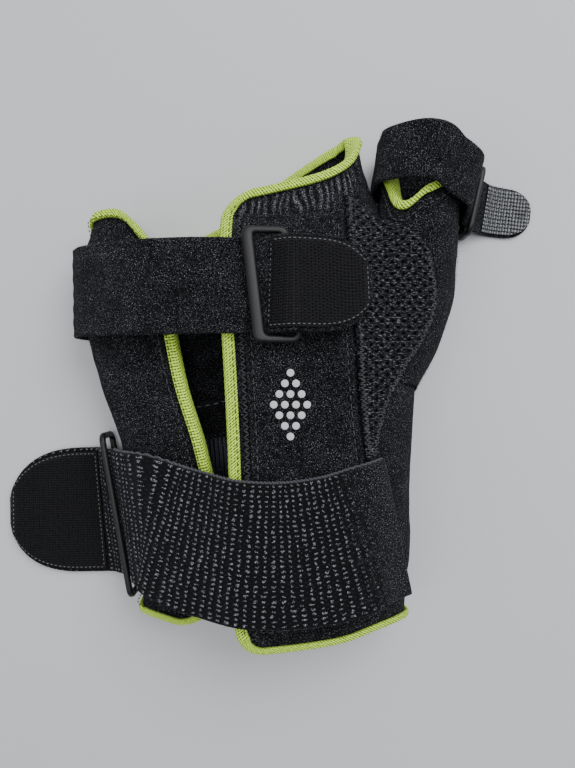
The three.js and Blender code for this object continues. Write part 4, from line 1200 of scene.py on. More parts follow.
def keeper_body(name, keeper):
    """Webbing folded round a ring's bar, its two ends together at the foot."""
    towards = unit(keeper["foot"] - keeper["bar"])
    up = unit(np.cross(keeper["side"], towards))
    reach = float(np.linalg.norm(keeper["foot"] - keeper["bar"]))
    radius = BAR_RADIUS + GAP + KEEPER_THICKNESS / 2
    pinch = (GAP + KEEPER_THICKNESS) / 2
    neck = min(radius * 2.2, reach * 0.7)
    fall = np.linspace(0, 1, 10)[1:]
    upper = np.stack([neck * fall, radius + (pinch - radius) * smooth(fall)], 1)
    upper = np.vstack([upper, [[(neck + reach) / 2, pinch], [reach, pinch]]])
    turns = np.pi / 2 + np.pi * np.linspace(0, 1, 21)
    arc = radius * np.stack([np.cos(turns), np.sin(turns)], 1)
    middle = np.vstack([upper[::-1], arc, upper * [1, -1]])
    step = unit(np.gradient(middle, axis=0))
    normal = np.stack([step[:, 1], -step[:, 0]], 1) * KEEPER_THICKNESS / 2
    rings = []
    places = np.linspace(-1, 1, 33)
    for place in places:
        full = 0.45 + 0.55 * math.sqrt(1 - abs(place) ** 14)
        flat = np.vstack([middle + normal * full, (middle - normal * full)[::-1]])
        base = keeper["bar"] + keeper["side"] * place * keeper["width"] / 2
        rings.append(base + flat[:, :1] * towards + flat[:, 1:] * up)
    span = run_of(middle)
    u, v = pattern_places(places * keeper["width"] / 2, np.concatenate([span, span[::-1]]))
    return loft(name, np.stack(rings), False, v, u, "strip")


# Materials, each with its colour in linear values
def shade(colour):
    """Linear colour from one written as eight-bit red, green and blue."""
    shares = [c / 255 for c in colour]
    linear = [c / 12.92 if c <= 0.04 else ((c + 0.055) / 1.055) ** 2.4 for c in shares]
    return tuple(linear) + (1.0,)


def feed(tree, value, socket):
    """Gives an input a plain value, or what another node puts out."""
    if isinstance(value, (int, float, tuple)):
        socket.default_value = value
    else:
        tree.links.new(value, socket)


def maths(tree, operation, a, b, clamp=False):
    """A maths node of a shader or geometry tree. a and b are numbers or sockets."""
    node = tree.nodes.new("ShaderNodeMath")
    node.operation = operation
    node.use_clamp = clamp
    for socket, value in zip(node.inputs, (a, b)):
        feed(tree, value, socket)
    return node.outputs[0]


class Shader:
    """A material under construction, with short ways to add and join its nodes."""

    def __init__(self, name):
        self.material = bpy.data.materials.new(name)
        self.material.use_nodes = True
        self.tree = self.material.node_tree
        self.surface = next(node for node in self.tree.nodes if node.type == "BSDF_PRINCIPLED")
        self.place = self.tree.nodes.new("ShaderNodeTexCoord")

    def new(self, kind, **values):
        """A node of a kind, its inputs given by name."""
        node = self.tree.nodes.new("ShaderNode" + kind)
        for name, value in values.items():
            feed(self.tree, value, node.inputs[name])
        return node

    def scaled(self, scale=(1000, 1000, 1000), by="Object"):
        """Places on the piece or its cloth pattern, in millimetres unless another scale is given."""
        return self.new("Mapping", Scale=scale, Vector=self.place.outputs[by]).outputs["Vector"]

    def attribute(self, name):
        node = self.new("Attribute")
        node.attribute_name = name
        return node.outputs["Fac"]

    def noise(self, at, scale, detail=2.0, roughness=0.5):
        node = self.new("TexNoise", Scale=scale, Detail=detail, Roughness=roughness, Vector=at)
        return node.outputs["Fac"]

    def cells(self, at, scale):
        return self.new("TexVoronoi", Scale=scale, Vector=at).outputs["Distance"]

    def math(self, operation, a, b=0.5, clamp=False):
        return maths(self.tree, operation, a, b, clamp)

    def plus(self, a, b, clamp=False):
        return self.math("ADD", a, b, clamp)

    def less(self, a, b, clamp=False):
        return self.math("SUBTRACT", a, b, clamp)

    def times(self, a, b, clamp=False):
        return self.math("MULTIPLY", a, b, clamp)

    def gain(self, value, middle, factor, clamp=False):
        """How far a value lies over its middle, times a factor."""
        return self.times(self.less(value, middle), factor, clamp)

    def wave(self, value, pitch):
        return self.math("SINE", self.times(value, 2 * math.pi / pitch))

    def split(self, at):
        return self.new("SeparateXYZ", Vector=at).outputs

    def ramp(self, value, stops):
        node = self.new("ValToRGB", Fac=value)
        elements = node.color_ramp.elements
        while len(elements) < len(stops):
            elements.new(0.5)
        for element, (place, colour) in zip(elements, stops):
            element.position = place
            element.color = colour
        return node.outputs["Color"]

    def mix(self, share, a, b):
        node = self.new("Mix")
        node.data_type = "RGBA"
        for place, value in ((0, share), (6, a), (7, b)):
            feed(self.tree, value, node.inputs[place])
        return node.outputs[2]

    def bump(self, height, strength, distance):
        node = self.new("Bump", Strength=strength, Distance=distance, Height=height)
        feed(self.tree, node.outputs["Normal"], self.surface.inputs["Normal"])

    def finish(self, colour, roughness, sheen=0.0, sheen_tint=(0.5, 0.5, 0.5, 1), specular=0.3):
        for name, value in (
            ("Base Color", colour),
            ("Roughness", roughness),
            ("Specular IOR Level", specular),
            ("Sheen Weight", sheen),
            ("Sheen Roughness", 0.45),
            ("Sheen Tint", sheen_tint),
        ):
            feed(self.tree, value, self.surface.inputs[name])
        return self.material


def plush_material(dark, fleck):
    """Brushed loop fabric: tufts with the paler tips of its fibres catching light, a painted highlight on
    the gathers' pleat tops and painted shade in their hollows.
    """
    s = Shader("brushed plush")
    at = s.scaled()
    tufts = s.cells(at, 2.1)
    fine = s.noise(at, 3.1, 3.0, 0.72)
    broad = s.noise(at, 0.12, 2.0)
    tips = s.less(fine, s.times(tufts, 0.22))
    patchy = s.plus(tips, s.gain(broad, 0.5, 0.08))
    # Painted highlight: the pleat tops of the gathers are lightened
    raised = s.plus(patchy, s.times(s.attribute("crest"), 0.1))
    half = tuple(0.87 * a + 0.13 * b for a, b in zip(dark, fleck))
    tuft = s.ramp(raised, [(0.4, dark), (0.52, half), (0.61, fleck)])
    # Painted shade: the gathers' hollows darken towards near black
    colour = s.mix(s.times(s.attribute("painted_fold_shade"), 0.9), tuft, shade((3, 3, 4)))
    s.bump(s.less(fine, s.times(tufts, 0.8)), 0.9, 0.0007)
    return s.finish(colour, 0.96, 0.12, shade((128, 130, 138)), 0.08)


def elastic_material(dark, fleck):
    """Loop-faced elastic: columns of small bent loops across the strap on a dark knit."""
    s = Shader("loop faced elastic")
    uv = s.scaled(by="UV")
    along, across, _ = s.split(uv)
    drift = s.gain(s.noise(uv, 0.35, 2.0), 0.5, 2.6)
    column = s.wave(s.plus(along, drift), 2.8)
    jumble = s.gain(s.noise(uv, 0.8, 2.0), 0.5, 7.0)
    row = s.math("SINE", s.plus(s.times(across, 2 * math.pi / 1.7), jumble))
    tips = s.times(s.plus(column, 0.25), s.plus(row, 0.35), True)
    strand = s.noise(s.scaled((3600, 1500, 1000), "UV"), 1.0, 3.0, 0.65)
    torn = s.gain(strand, 0.36, 3.4, True)
    off_seam = s.plus(s.gain(along, 9.0, 0.08), drift, True)
    loops = s.times(tips, off_seam)
    nap = s.noise(uv, 2.6, 3.0, 0.7)
    near_seam = s.less(4.0, s.times(off_seam, 4.0))
    brushed = s.times(s.less(nap, 0.5), near_seam)
    lit = s.plus(s.times(loops, torn, True), brushed)
    fuzz = s.gain(nap, 0.5, 0.5)
    colour = s.ramp(s.plus(lit, fuzz), [(0.08, dark), (0.34, shade((32, 33, 37))), (0.8, fleck)])
    s.bump(s.plus(s.times(loops, 0.7), strand), 0.85, 0.0006)
    return s.finish(colour, 0.88, 0.12, shade((150, 152, 160)), 0.12)


def mesh_material(dark, rim, pitch):
    """Spacer mesh: dark oval holes in staggered rows, with painted shade deepening into each hole, a
    painted highlight in a thin ring round its rim, and short lit strands of yarn between them.
    """
    s = Shader("spacer mesh")
    uv = s.scaled(by="UV")
    x, y, _ = s.split(uv)
    row = s.math("DIVIDE", y, pitch * ROW_SHARE)
    odd = s.math("FLOORED_MODULO", s.math("FLOOR", row), 2.0)
    column = s.plus(s.math("DIVIDE", x, pitch), s.times(odd, 0.5))
    dx = s.times(s.less(s.math("FRACT", column), 0.5), pitch / HOLE_WIDE)
    dy = s.times(s.less(s.math("FRACT", row), 0.5), pitch * ROW_SHARE / HOLE_HIGH)
    far = s.math("SQRT", s.plus(s.times(dx, dx), s.times(dy, dy)))
    fine = s.noise(uv, 2.4, 3.0, 0.7)
    torn = s.plus(far, s.gain(fine, 0.5, 0.9))
    strands = s.noise(s.scaled((800, 2300, 1000), "UV"), 1.0, 3.0, 0.7)
    bars = s.gain(strands, 0.54, 8.0, True)
    open_part = s.gain(torn, 0.85, 3.0, True)
    # Painted shade that darkens each hole towards its middle, and a painted highlight in the paler ring at
    # its rim
    hole_shade_and_rim_light = [(0.45, shade((1, 1, 2))), (0.58, shade((24, 25, 28))), (0.8, dark)]
    ground = s.ramp(s.times(torn, 0.5), hole_shade_and_rim_light)
    colour = s.mix(s.times(bars, open_part), ground, rim)
    s.bump(s.plus(torn, s.times(strands, 0.8)), 0.8, 0.0005)
    return s.finish(colour, 0.68, 0.1, shade((150, 155, 165)), 0.1)


def binding_material(bright, deep):
    """Knitted lime tape: slanting ribs of stitches, with painted shade darkening the gaps between them."""
    s = Shader("knitted binding")
    uv = s.scaled(by="UV")
    along, across, _ = s.split(uv)
    slant = s.times(s.math("ABSOLUTE", across), 0.75)
    ribs = s.wave(s.plus(along, slant), 1.05)
    loops = s.wave(across, 0.9)
    knit = s.plus(s.times(ribs, 0.34), s.times(loops, 0.16))
    uneven = s.noise(uv, 0.9, 3.0, 0.6)
    height = s.plus(knit, uneven)
    # Painted shade: the gaps between the ribs darken to deep lime, and the rib tops stay bright
    colour = s.ramp(height, [(0.22, deep), (0.42, shade((172, 214, 56))), (0.66, bright)])
    s.bump(height, 0.7, 0.0004)
    return s.finish(colour, 0.75, 0.3, shade((215, 240, 130)), 0.25)


def hook_material(name, dark, pale, pitch, share):
    """Hook tape: rows of moulded hooks on a woven ground, share of it lit."""
    s = Shader(name)
    uv = s.scaled(by="UV")
    along, across, _ = s.split(uv)
    columns = s.wave(across, pitch)
    rows = s.wave(along, pitch * 0.8)
    grain = s.noise(uv, 2.2, 3.0, 0.7)
    grid = s.times(s.plus(columns, 1.0), s.plus(rows, 1.2))
    lit = s.times(s.times(grid, grain), share, True)
    s.bump(s.plus(grid, grain), 0.5, 0.0003)
    return s.finish(s.mix(lit, dark, pale), 0.72, specular=0.2)


def moulded_material(colour):
    """Injection-moulded nylon with a faint grain."""
    s = Shader("moulded nylon")
    at = s.scaled()
    grain = s.noise(at, 1.6, 3.0, 0.6)
    tone = s.mix(s.times(s.noise(at, 0.25), 0.5), colour, shade((24, 25, 27)))
    s.bump(grain, 0.25, 0.0002)
    return s.finish(tone, 0.45, specular=0.35)


def thread_material(name, colour, roughness=0.6):
    """Sewing thread with a slight twist."""
    s = Shader(name)
    at = s.scaled()
    fine = s.noise(at, 3.0, 2.0)
    tone = s.mix(fine, colour, tuple(c * 0.55 for c in colour[:3]) + (1.0,))
    return s.finish(tone, roughness, 0.2, (0.8, 0.8, 0.8, 1), 0.35)


def plain_material(name, colour, roughness):
    s = Shader(name)
    cloudy = s.times(s.noise(s.scaled((1, 1, 1)), 180.0), 0.12)
    tone = s.mix(cloudy, colour, shade((200, 200, 200)))
    return s.finish(tone, roughness, specular=0.3)


# Node trees for what repeats
def new_tree(name, sizes):
    """A geometry tree with a mesh in and out and named sizes, each (name, default)."""
    tree = bpy.data.node_groups.new(name, "GeometryNodeTree")
    tree.interface.new_socket("Geometry", in_out="INPUT", socket_type="NodeSocketGeometry")
    for label, default in sizes:
        socket = tree.interface.new_socket(label, in_out="INPUT", socket_type="NodeSocketFloat")
        socket.default_value = default
    tree.interface.new_socket("Finish", in_out="INPUT", socket_type="NodeSocketMaterial")
    tree.interface.new_socket("Geometry", in_out="OUTPUT", socket_type="NodeSocketGeometry")
    return tree, tree.nodes.new("NodeGroupInput"), tree.nodes.new("NodeGroupOutput")


def end_tree(tree, source, start, end):
    """Realizes the instances, smooths them, sets the finish and joins it to the output."""
    realize = tree.nodes.new("GeometryNodeRealizeInstances")
    even = tree.nodes.new("GeometryNodeSetShadeSmooth")
    finish = tree.nodes.new("GeometryNodeSetMaterial")
    tree.links.new(source, realize.inputs[0])
    tree.links.new(realize.outputs[0], even.inputs[0])
    tree.links.new(even.outputs[0], finish.inputs[0])
    tree.links.new(start.outputs["Finish"], finish.inputs["Material"])
    tree.links.new(finish.outputs[0], end.inputs[0])


def thread_tree():
    """Turns lines of edges into threads, each thinned at its two ends."""
    tree, start, end = new_tree("Threads", (("Radius", 0.0002), ("Thinning", 0.6), ("Sides", 5.0)))
    add, join = tree.nodes.new, tree.links.new
    curve, sized = add("GeometryNodeMeshToCurve"), add("GeometryNodeSetCurveRadius")
    ring, sweep = add("GeometryNodeCurvePrimitiveCircle"), add("GeometryNodeCurveToMesh")
    along = add("GeometryNodeSplineParameter")
    ends = maths(tree, "ABSOLUTE", maths(tree, "SUBTRACT", along.outputs["Factor"], 0.5), 0)
    to_end = maths(tree, "POWER", maths(tree, "MULTIPLY", ends, 2.0), 4.0)
    thin = maths(tree, "MULTIPLY", to_end, start.outputs["Thinning"])
    ring.inputs["Radius"].default_value = 1.0
    join(start.outputs["Geometry"], curve.inputs[0])
    join(curve.outputs[0], sized.inputs["Curve"])
    radius = maths(tree, "MULTIPLY", maths(tree, "SUBTRACT", 1.0, thin), start.outputs["Radius"])
    join(radius, sized.inputs["Radius"])
    join(start.outputs["Sides"], ring.inputs["Resolution"])
    join(sized.outputs[0], sweep.inputs["Curve"])
    join(ring.outputs[0], sweep.inputs["Profile Curve"])
    join(add("GeometryNodeInputRadius").outputs[0], sweep.inputs["Scale"])
    sweep.inputs["Fill Caps"].default_value = True
    end_tree(tree, sweep.outputs[0], start, end)
    return tree


def stud_tree():
    """Stands a small mushroom-headed hook on each point, turned along the stored direction."""
    tree, start, end = new_tree("Hooks", (("Height", 0.0006), ("Radius", 0.0002), ("Seed", 7.0)))
    add, join = tree.nodes.new, tree.links.new
    points, stand = add("GeometryNodeMeshToPoints"), add("GeometryNodeInstanceOnPoints")
    stem, direction = add("GeometryNodeMeshCone"), add("GeometryNodeInputNamedAttribute")
    align, spin = add("FunctionNodeAlignRotationToVector"), add("FunctionNodeRandomValue")
    direction.data_type = "FLOAT_VECTOR"
    direction.inputs["Name"].default_value = "stands"
    align.axis = "Z"
    stem.inputs["Vertices"].default_value = 6
    stem.inputs["Side Segments"].default_value = 1
    join(start.outputs["Radius"], stem.inputs["Radius Top"])
    join(maths(tree, "MULTIPLY", start.outputs["Radius"], 0.6), stem.inputs["Radius Bottom"])
    join(start.outputs["Height"], stem.inputs["Depth"])
    join(start.outputs["Geometry"], points.inputs[0])
    join(points.outputs[0], stand.inputs["Points"])
    join(stem.outputs[0], stand.inputs["Instance"])
    join(direction.outputs[0], align.inputs["Vector"])
    join(align.outputs[0], stand.inputs["Rotation"])
    spin.data_type = "FLOAT"
    spin.inputs[2].default_value = 0.85
    spin.inputs[3].default_value = 1.15
    join(start.outputs["Seed"], spin.inputs["Seed"])
    join(spin.outputs[1], stand.inputs["Scale"])
    end_tree(tree, stand.outputs[0], start, end)
    return tree


def grown(name, mesh, tree, sizes, material):
    """The plain mesh that a tree makes from a mesh, with its sizes in metres."""
    obj = bpy.data.objects.new(name, mesh)
    bpy.context.scene.collection.objects.link(obj)
    modifier = obj.modifiers.new("Grow", "NODES")
    modifier.node_group = tree
    sockets = {item.name: item.identifier for item in tree.interface.items_tree if item.in_out == "INPUT"}
    for label, value in sizes.items():
        modifier[sockets[label]] = value
    modifier[sockets["Finish"]] = material
    graph = bpy.context.evaluated_depsgraph_get()
    result = bpy.data.meshes.new_from_object(obj.evaluated_get(graph), depsgraph=graph)
    obj.modifiers.remove(modifier)
    obj.data = result
    bpy.data.meshes.remove(mesh)
    result.name = name
    result.materials.clear()
    result.materials.append(material)
    return obj


def lines_mesh(name, lines):
    """Edges through lines of points, given as one array: lines, points, three."""
    lines = np.asarray(lines, float)
    count, size = lines.shape[:2]
    first = (np.arange(count)[:, None] * size + np.arange(size - 1)[None, :]).ravel()
    mesh = bpy.data.meshes.new(name)
    points = (lines.reshape(-1, 3) + origin) * MM
    mesh.from_pydata(points.tolist(), np.stack([first, first + 1], 1).tolist(), [])
    return mesh


def points_mesh(name, points, directions):
    mesh = bpy.data.meshes.new(name)
    mesh.from_pydata(((points + origin) * MM).tolist(), [], [])
    stored = mesh.attributes.new("stands", "FLOAT_VECTOR", "POINT")
    stored.data.foreach_set("vector", unit(directions).astype(np.float32).ravel())
    return mesh


trees = {}


def tree_named(name, maker):
    if name not in trees:
        trees[name] = maker()
    return trees[name]


def threads(name, lines, radius, material, thinning=0.6, sides=5):
    sizes = {"Radius": radius * MM, "Thinning": thinning, "Sides": float(sides)}
    obj = grown(name, lines_mesh(name, lines), tree_named("threads", thread_tree), sizes, material)
    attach(obj, "root")
    return obj


# Stitches: each is a short arc that rises over the cloth and dips in at its ends
def arcs(start, end, up, rise, sink=0.25, count=6):
    """Arcs between arrays of points, standing over them along up."""
    share = np.linspace(0, 1, count)
    flat = start[:, None] * (1 - share[None, :, None]) + end[:, None] * share[None, :, None]
    height = rise * np.sin(np.pi * share) ** 0.7 - sink * (1 - np.sin(np.pi * share))
    return flat + up[:, None] * height[None, :, None]


def along_line(points, ups, stitch, space):
    """Starts, ends and ups of running stitches on a line of points."""
    run = run_of(points)
    count = int(run[-1] / (stitch + space))
    begin = (run[-1] - count * (stitch + space) + space) / 2 + np.arange(count) * (stitch + space)
    ends = placed(begin, run, points), placed(begin + stitch, run, points)
    return *ends, unit(placed(begin + stitch / 2, run, ups))


def running(line, stitch, space, rise, sink=0.25):
    """Running stitches on a line, given as its points and ups."""
    return arcs(*along_line(*line, stitch, space), rise, sink)


def wrap_line(i, j, height):
    outer, _, normal = wrap_faces(i, j)
    return outer + normal * height, normal


def inside_line(i, j, depth):
    _, inner, normal = wrap_faces(i, j)
    return inner - normal * depth, -normal


def grid_at_mm(kind, distance):
    """Grid line of the wrap that runs a distance in from its edge, beyond the binding's reach."""
    step = WRAP_ROUND / COLUMNS if kind == "round" else WRAP_RUN / ROWS
    return 1 + (distance - TAPE_REACH) / step


def zigzag(points, ups, amplitude, pitch):
    """Crossing stitches that swing from side to side of a line."""
    run = run_of(points)
    count = int(run[-1] / pitch)
    places = np.arange(count + 1) * pitch
    sides = np.cross(ups, np.gradient(points, axis=0))
    centres, up, side = (placed(places, run, grid) for grid in (points, ups, sides))
    swing = np.where(np.arange(count + 1) % 2 == 0, -1, 1)[:, None] * amplitude
    corners = centres + unit(side) * swing
    return arcs(corners[:-1], corners[1:], unit(up)[:-1], 0.25)


# Rows of stitches, by their distance from the wrap's edges
MOUTH_ROW, CUFF_ROW, LEFT_ROW, RIGHT_ROW = 13.5, 6.4, 6.2, 6.0


def edge_stitches():
    """The grey rows beside the binding on the front, and the zigzag beside the slit's right edge."""
    i, j = np.linspace(1.2, COLUMNS - 1.2, 900), np.linspace(1.0, ROWS - 1.0, 500)
    mouth = wrap_line(i[i > 28], ROWS - grid_at_mm("along", MOUTH_ROW), 0.1)
    cuff = wrap_line(i, grid_at_mm("along", CUFF_ROW), 0.1)
    slit = wrap_line(grid_at_mm("round", LEFT_ROW), j, 0.1)
    made = [running(line, 1.9, 1.0, 0.28) for line in (mouth, cuff, slit)]
    made.append(zigzag(*wrap_line(COLUMNS - grid_at_mm("round", RIGHT_ROW), j, 0.12), 0.95, 1.15))
    outer, _, normal = sheath_faces(np.linspace(0, SHEATH_SIDES, 400), SHEATH_ROWS - 1.25)
    made.append(running((outer + normal * 0.3, normal), 1.7, 0.9, 0.26))
    return np.concatenate(made)


def pocket_stitches():
    """Running stitches round the pocket, sunk in its seams."""
    made = []
    length, width = POCKET_LENGTH, POCKET_WIDTH
    for across, along in (
        (np.full(400, POCKET_STITCH / width), np.linspace(0.02, 0.98, 400)),
        (np.full(400, 1 - POCKET_STITCH / width), np.linspace(0.02, 0.98, 400)),
        (np.linspace(0.05, 0.95, 200), np.full(200, POCKET_STITCH / length)),
    ):
        x, y = pocket_place(across, along)
        z = front_height(x, y) + OVERLAY_GAP + POCKET_THICKNESS - 0.25
        line = np.stack([x, y, z], 1), np.tile(UPRIGHT, (len(x), 1))
        made.append(running(line, 2.0, 1.0, 0.3))
    return np.concatenate(made)


def leaf_stitches():
    """The close overlock along the mesh panel's left seam and the stitches down its right."""
    made = []
    for side, across, swing, pitch in ((0.0, 1.4, 0.9, 0.75), (1.0, -1.3, 0.7, 1.0)):
        x, y = leaf_place(np.full(400, side), np.linspace(0.02, 0.985, 400))
        x = x + across
        z = front_height(x, y) + OVERLAY_GAP + MESH_THICKNESS + 0.05
        made.append(zigzag(np.stack([x, y, z], 1), np.tile(UPRIGHT, (400, 1)), swing, pitch))
    return np.concatenate(made)


def patch_stitches(patch):
    """Small grey stitches round a hook patch's rim."""
    runs = np.linspace(patch.start + 0.8, patch.stop - 0.8, 120)
    reach = patch.width(runs) / 2 - 0.8
    left, right = np.stack([runs, -reach], 1), np.stack([runs, reach], 1)
    first = np.stack([np.full(40, runs[0]), np.linspace(-reach[0], reach[0], 40)], 1)
    last = np.stack([np.full(40, runs[-1]), np.linspace(reach[-1], -reach[-1], 40)], 1)
    made = []
    for part in (left, right, first, last):
        points = patch.at(part[:, 0], part[:, 1], HOOK_THICKNESS * 0.6)
        ups = patch.at(part[:, 0], part[:, 1], 1.6) - patch.at(part[:, 0], part[:, 1], 0.6)
        made.append(running((points, unit(ups)), 0.9, 0.8, 0.22, 0.12))
    return np.concatenate(made)


def tape_line(edge, inner):
    """The wrap binding's crest along its edge path, on its upper side."""
    outer, _, normal = wrap_faces(*(inner * 0.5 + edge * 0.5).T)
    return outer + normal * (TAPE_SEAT + TAPE + 0.55), normal


def binding_stitches():
    """The deep green ladder along the middle of the left flap's binding."""
    edge, inner = wrap_edge_path()
    chosen = (edge[:, 0] < 13) | ((edge[:, 0] > COLUMNS - 0.5) & (edge[:, 1] > 1))
    made = []
    start = 0
    for k in range(1, len(edge) + 1):
        if k == len(edge) or chosen[k] != chosen[start]:
            if chosen[start] and k - start > 6:
                crest = tape_line(edge[start:k], inner[start:k])
                made.append(running(crest, 1.3, 0.95, 0.12, 0.2))
            start = k
    made = np.concatenate(made)
    return made[made[..., 2].min(axis=1) > 1.5]


def lining_stitches():
    """Dashes across the lining that shows through the slit."""
    i = np.linspace(7.5, 20, 500)
    lines = [inside_line(i, np.full(500, place), 0.05) for place in (6.6, 9.7)]
    return np.concatenate([running(line, 2.0, 1.4, 0.3) for line in lines])


ROLL_RADIUS, ROLL_PITCH = 0.42, 3.4


def rolled_edge_lines():
    """Two strands twisted along the elastic's upper edge."""
    run = np.linspace(1.0, forearm_route.length - FOREARM_TAB - 4, 620)
    lines = []
    for phase in (0, np.pi):
        turn = run * 2 * np.pi / ROLL_PITCH + phase
        side = FOREARM_WIDTH / 2 - 0.2 + ROLL_RADIUS * np.cos(turn)
        lines.append(forearm_route.at(run, side, 0.75 + ROLL_RADIUS * np.sin(turn)))
    return np.stack(lines)


# Space between the lining's ribs, in columns of the wrap's grid
LINING_RIB_STEP = 0.27


def lining_ribs():
    """Ribs of the corded patch on the lining, seen through the slit."""
    j = np.linspace(1.6, 8.1, 30)
    columns = np.arange(8.5, 19.5, LINING_RIB_STEP)
    return np.array([inside_line(np.full(30, i), j, 0.05)[0] for i in columns])


FIBRE_RADIUS = 0.035


def fibres(bases, outwards, ups, length, seed):
    """Short bent fibres from points, leaning outwards and up at random."""
    rng = np.random.default_rng(seed)
    count = len(bases)
    lean = outwards * rng.uniform(0.2, 1.1, (count, 1)) + ups * rng.uniform(-0.3, 1.0, (count, 1))
    lean = unit(lean + rng.normal(0, 0.45, (count, 3)))
    bend = rng.normal(0, 0.5, (count, 3))
    size = length * rng.uniform(0.45, 1.25, (count, 1, 1))
    share = np.array([0.0, 0.5, 1.0])[None, :, None]
    reach = lean[:, None] * share + bend[:, None] * share**2 * 0.6
    lines = bases[:, None] - lean[:, None] * 0.2 + size * reach
    lines[..., 2] = np.maximum(lines[..., 2], 0.05)
    return lines


def strap_fibres(route, width, thickness, per_mm, length, seed):
    """Fibres along both edges of a strap and round its end."""
    rng = np.random.default_rng(seed)
    count = int(route.length * per_mm * 2)
    run = rng.uniform(0.5, route.length, count)
    way = rng.choice([-1.0, 1.0], count)
    near = rng.uniform(0, 1, count) ** 2 * 1.2
    reach = end_widths(route.length - run, width) / 2
    height = rng.uniform(-0.4, 0.5, count) * thickness
    base = route.at(run, way * (reach - 0.15 - near), np.where(near > 0.4, thickness / 2, height))
    beside_base = route.at(run, way * (reach + 1), height)
    over = route.at(run, way * reach, height + 1) - route.at(run, way * reach, height)
    return fibres(base, unit(beside_base - base), over, length, seed + 1)


def end_fibres(route, width, thickness, count, seed):
    """Brushed fibres over a strap's sewn end."""
    rng = np.random.default_rng(seed)
    run = rng.uniform(0, 1, count) ** 1.6 * 6
    side = rng.uniform(-0.5, 0.5, count) * width
    base = route.at(run, side, thickness / 2)
    over = route.at(run, side, thickness / 2 + 1) - base
    back = route.at(0 * run, side, thickness / 2) - route.at(0 * run + 1, side, thickness / 2)
    return fibres(base, unit(back), over, 1.3, seed + 1)


def sheath_fibres(count, seed):
    rng = np.random.default_rng(seed)
    i = np.concatenate([rng.normal(20.2, 1.2, count // 2), rng.uniform(13, 26, count // 2)])
    j = rng.uniform(0.5, SHEATH_ROWS - 1.2, len(i))
    outer, _, normal = sheath_faces(i, j)
    return fibres(outer, normal, np.tile(UPRIGHT, (len(i), 1)), 0.75, seed + 1)


def wrap_fibres(count, seed):
    rng = np.random.default_rng(seed)
    half = count // 2
    left = np.stack([rng.normal(3.2, 2.0, half), rng.uniform(1.2, ROWS - 1.2, half)], 1)
    right = np.stack([rng.uniform(26, COLUMNS - 1.3, half), rng.uniform(1.2, ROWS - 1.2, half)], 1)
    i, j = np.clip(np.vstack([left, right]).T, 1.1, COLUMNS - 1.1)
    outer, _, normal = wrap_faces(i, j)
    tube = upper_at(measures(SHEATH, outer[:, 1]), outer[:, 0])
    open_air = (outer[:, 2] > tube - 0.3) | (outer[:, 1] < SHEATH_ROOT)
    outer, normal = outer[open_air], normal[open_air]
    return fibres(outer, normal, np.cross(normal, UPRIGHT), 0.6, seed + 1)


DOT_SIDES, DOT_RADIUS, DOT_HEIGHT, DOT_SPACING = 20, 1.3, 0.12, 3.6


def dots_body(name, places, softness):
    """Raised round dots on the pocket, one for each place (x, y)."""
    sides, height = DOT_SIDES, DOT_HEIGHT
    turns = 2 * np.pi * np.arange(sides) / sides
    circle = np.stack([np.cos(turns), np.sin(turns)], 1)
    points, faces = [], []
    for x, y in places:
        first = len(points) * 3 * sides
        rings = []
        for share, rise in ((1.0, -0.25), (1.0, height * 0.6), (0.93, height)):
            flat = np.array([x, y]) + circle * DOT_RADIUS * share
            along = (flat[:, 1] / SLEEVE_LENGTH + 0.5 - POCKET_FROM) / (POCKET_TO - POCKET_FROM)
            left, right = (pocket_place(side, along)[0] for side in (0, 1))
            swell = pocket_swell(flat[:, 0], flat[:, 1], (flat[:, 0] - left) / (right - left), softness)
            z = front_height(flat[:, 0], flat[:, 1]) + OVERLAY_GAP + POCKET_THICKNESS + swell + rise
            rings.append(np.column_stack([flat, z]))
        points.append(np.vstack(rings))
        for k in range(sides):
            near = (k + 1) % sides
            for low in (first, first + sides):
                faces.append([low + k, low + near, low + sides + near, low + sides + k])
        faces.append([first + 2 * sides + k for k in range(sides)])
        faces.append([first + k for k in range(sides)][::-1])
    return add_object(name, np.vstack(points), faces)


def lozenge(x, y, spacing):
    places = []
    for row in range(-3, 4):
        count = 4 - abs(row)
        places += [(x + (k - (count - 1) / 2) * spacing * 1.05, y + row * spacing) for k in range(count)]
    return places


# What a user may change
def colour_property(name, description, value):
    return bpy.props.FloatVectorProperty(
        name=name,
        description=description,
        default=shade(value)[:3],
        subtype="COLOR",
        size=3,
        min=0,
        max=1,
    )


def number_property(name, description, value, least, **more):
    return bpy.props.FloatProperty(name=name, description=description, default=value, min=least, **more)


def length_property(name, description, value):
    kind = {"subtype": "DISTANCE", "unit": "LENGTH", "precision": 5}
    return number_property(name, description, value * MM, 0, **kind)


def power_property(name, description, value):
    return number_property(name, description, value, 0, subtype="POWER", unit="POWER")


class SplintClothSettings(bpy.types.PropertyGroup):
    plush: colour_property("Plush", "Ground colour of the brushed fabric", (5, 5, 7))
    fleck: colour_property("Fleck", "Colour of the brushed fibres' tips", (164, 167, 176))
    softness: length_property("Softness", "Height of the soft unevenness of padded cloth", 0.35)
    mesh_pitch: length_property("Mesh pitch", "Distance between the mesh panel's holes", 3.8)
    mesh_depth: length_property("Mesh depth", "Depth of the mesh panel's holes", 0.6)
    fibre_length: length_property("Fibre length", "Length of the loose fibres at the edges", 0.8)


class SplintTrimSettings(bpy.types.PropertyGroup):
    lime: colour_property("Lime", "Bright colour of the binding", (214, 246, 96))
    # The deep lime is painted shade in the gaps between the binding's ribs
    lime_gap_shade: colour_property("Deep lime", "Colour between the binding's ribs", (66, 98, 22))
    puff: length_property("Puff", "Extra roundness of the binding", 0.3)
    thread: colour_property("Thread", "Colour of the sewing thread", (66, 67, 72))
    ladder: colour_property("Ladder thread", "Colour of the stitches on the binding", (62, 92, 28))
    stitch: length_property("Stitch", "Radius of the sewing thread", 0.2)
    dots: colour_property("Dots", "Colour of the printed dots", (190, 192, 194))


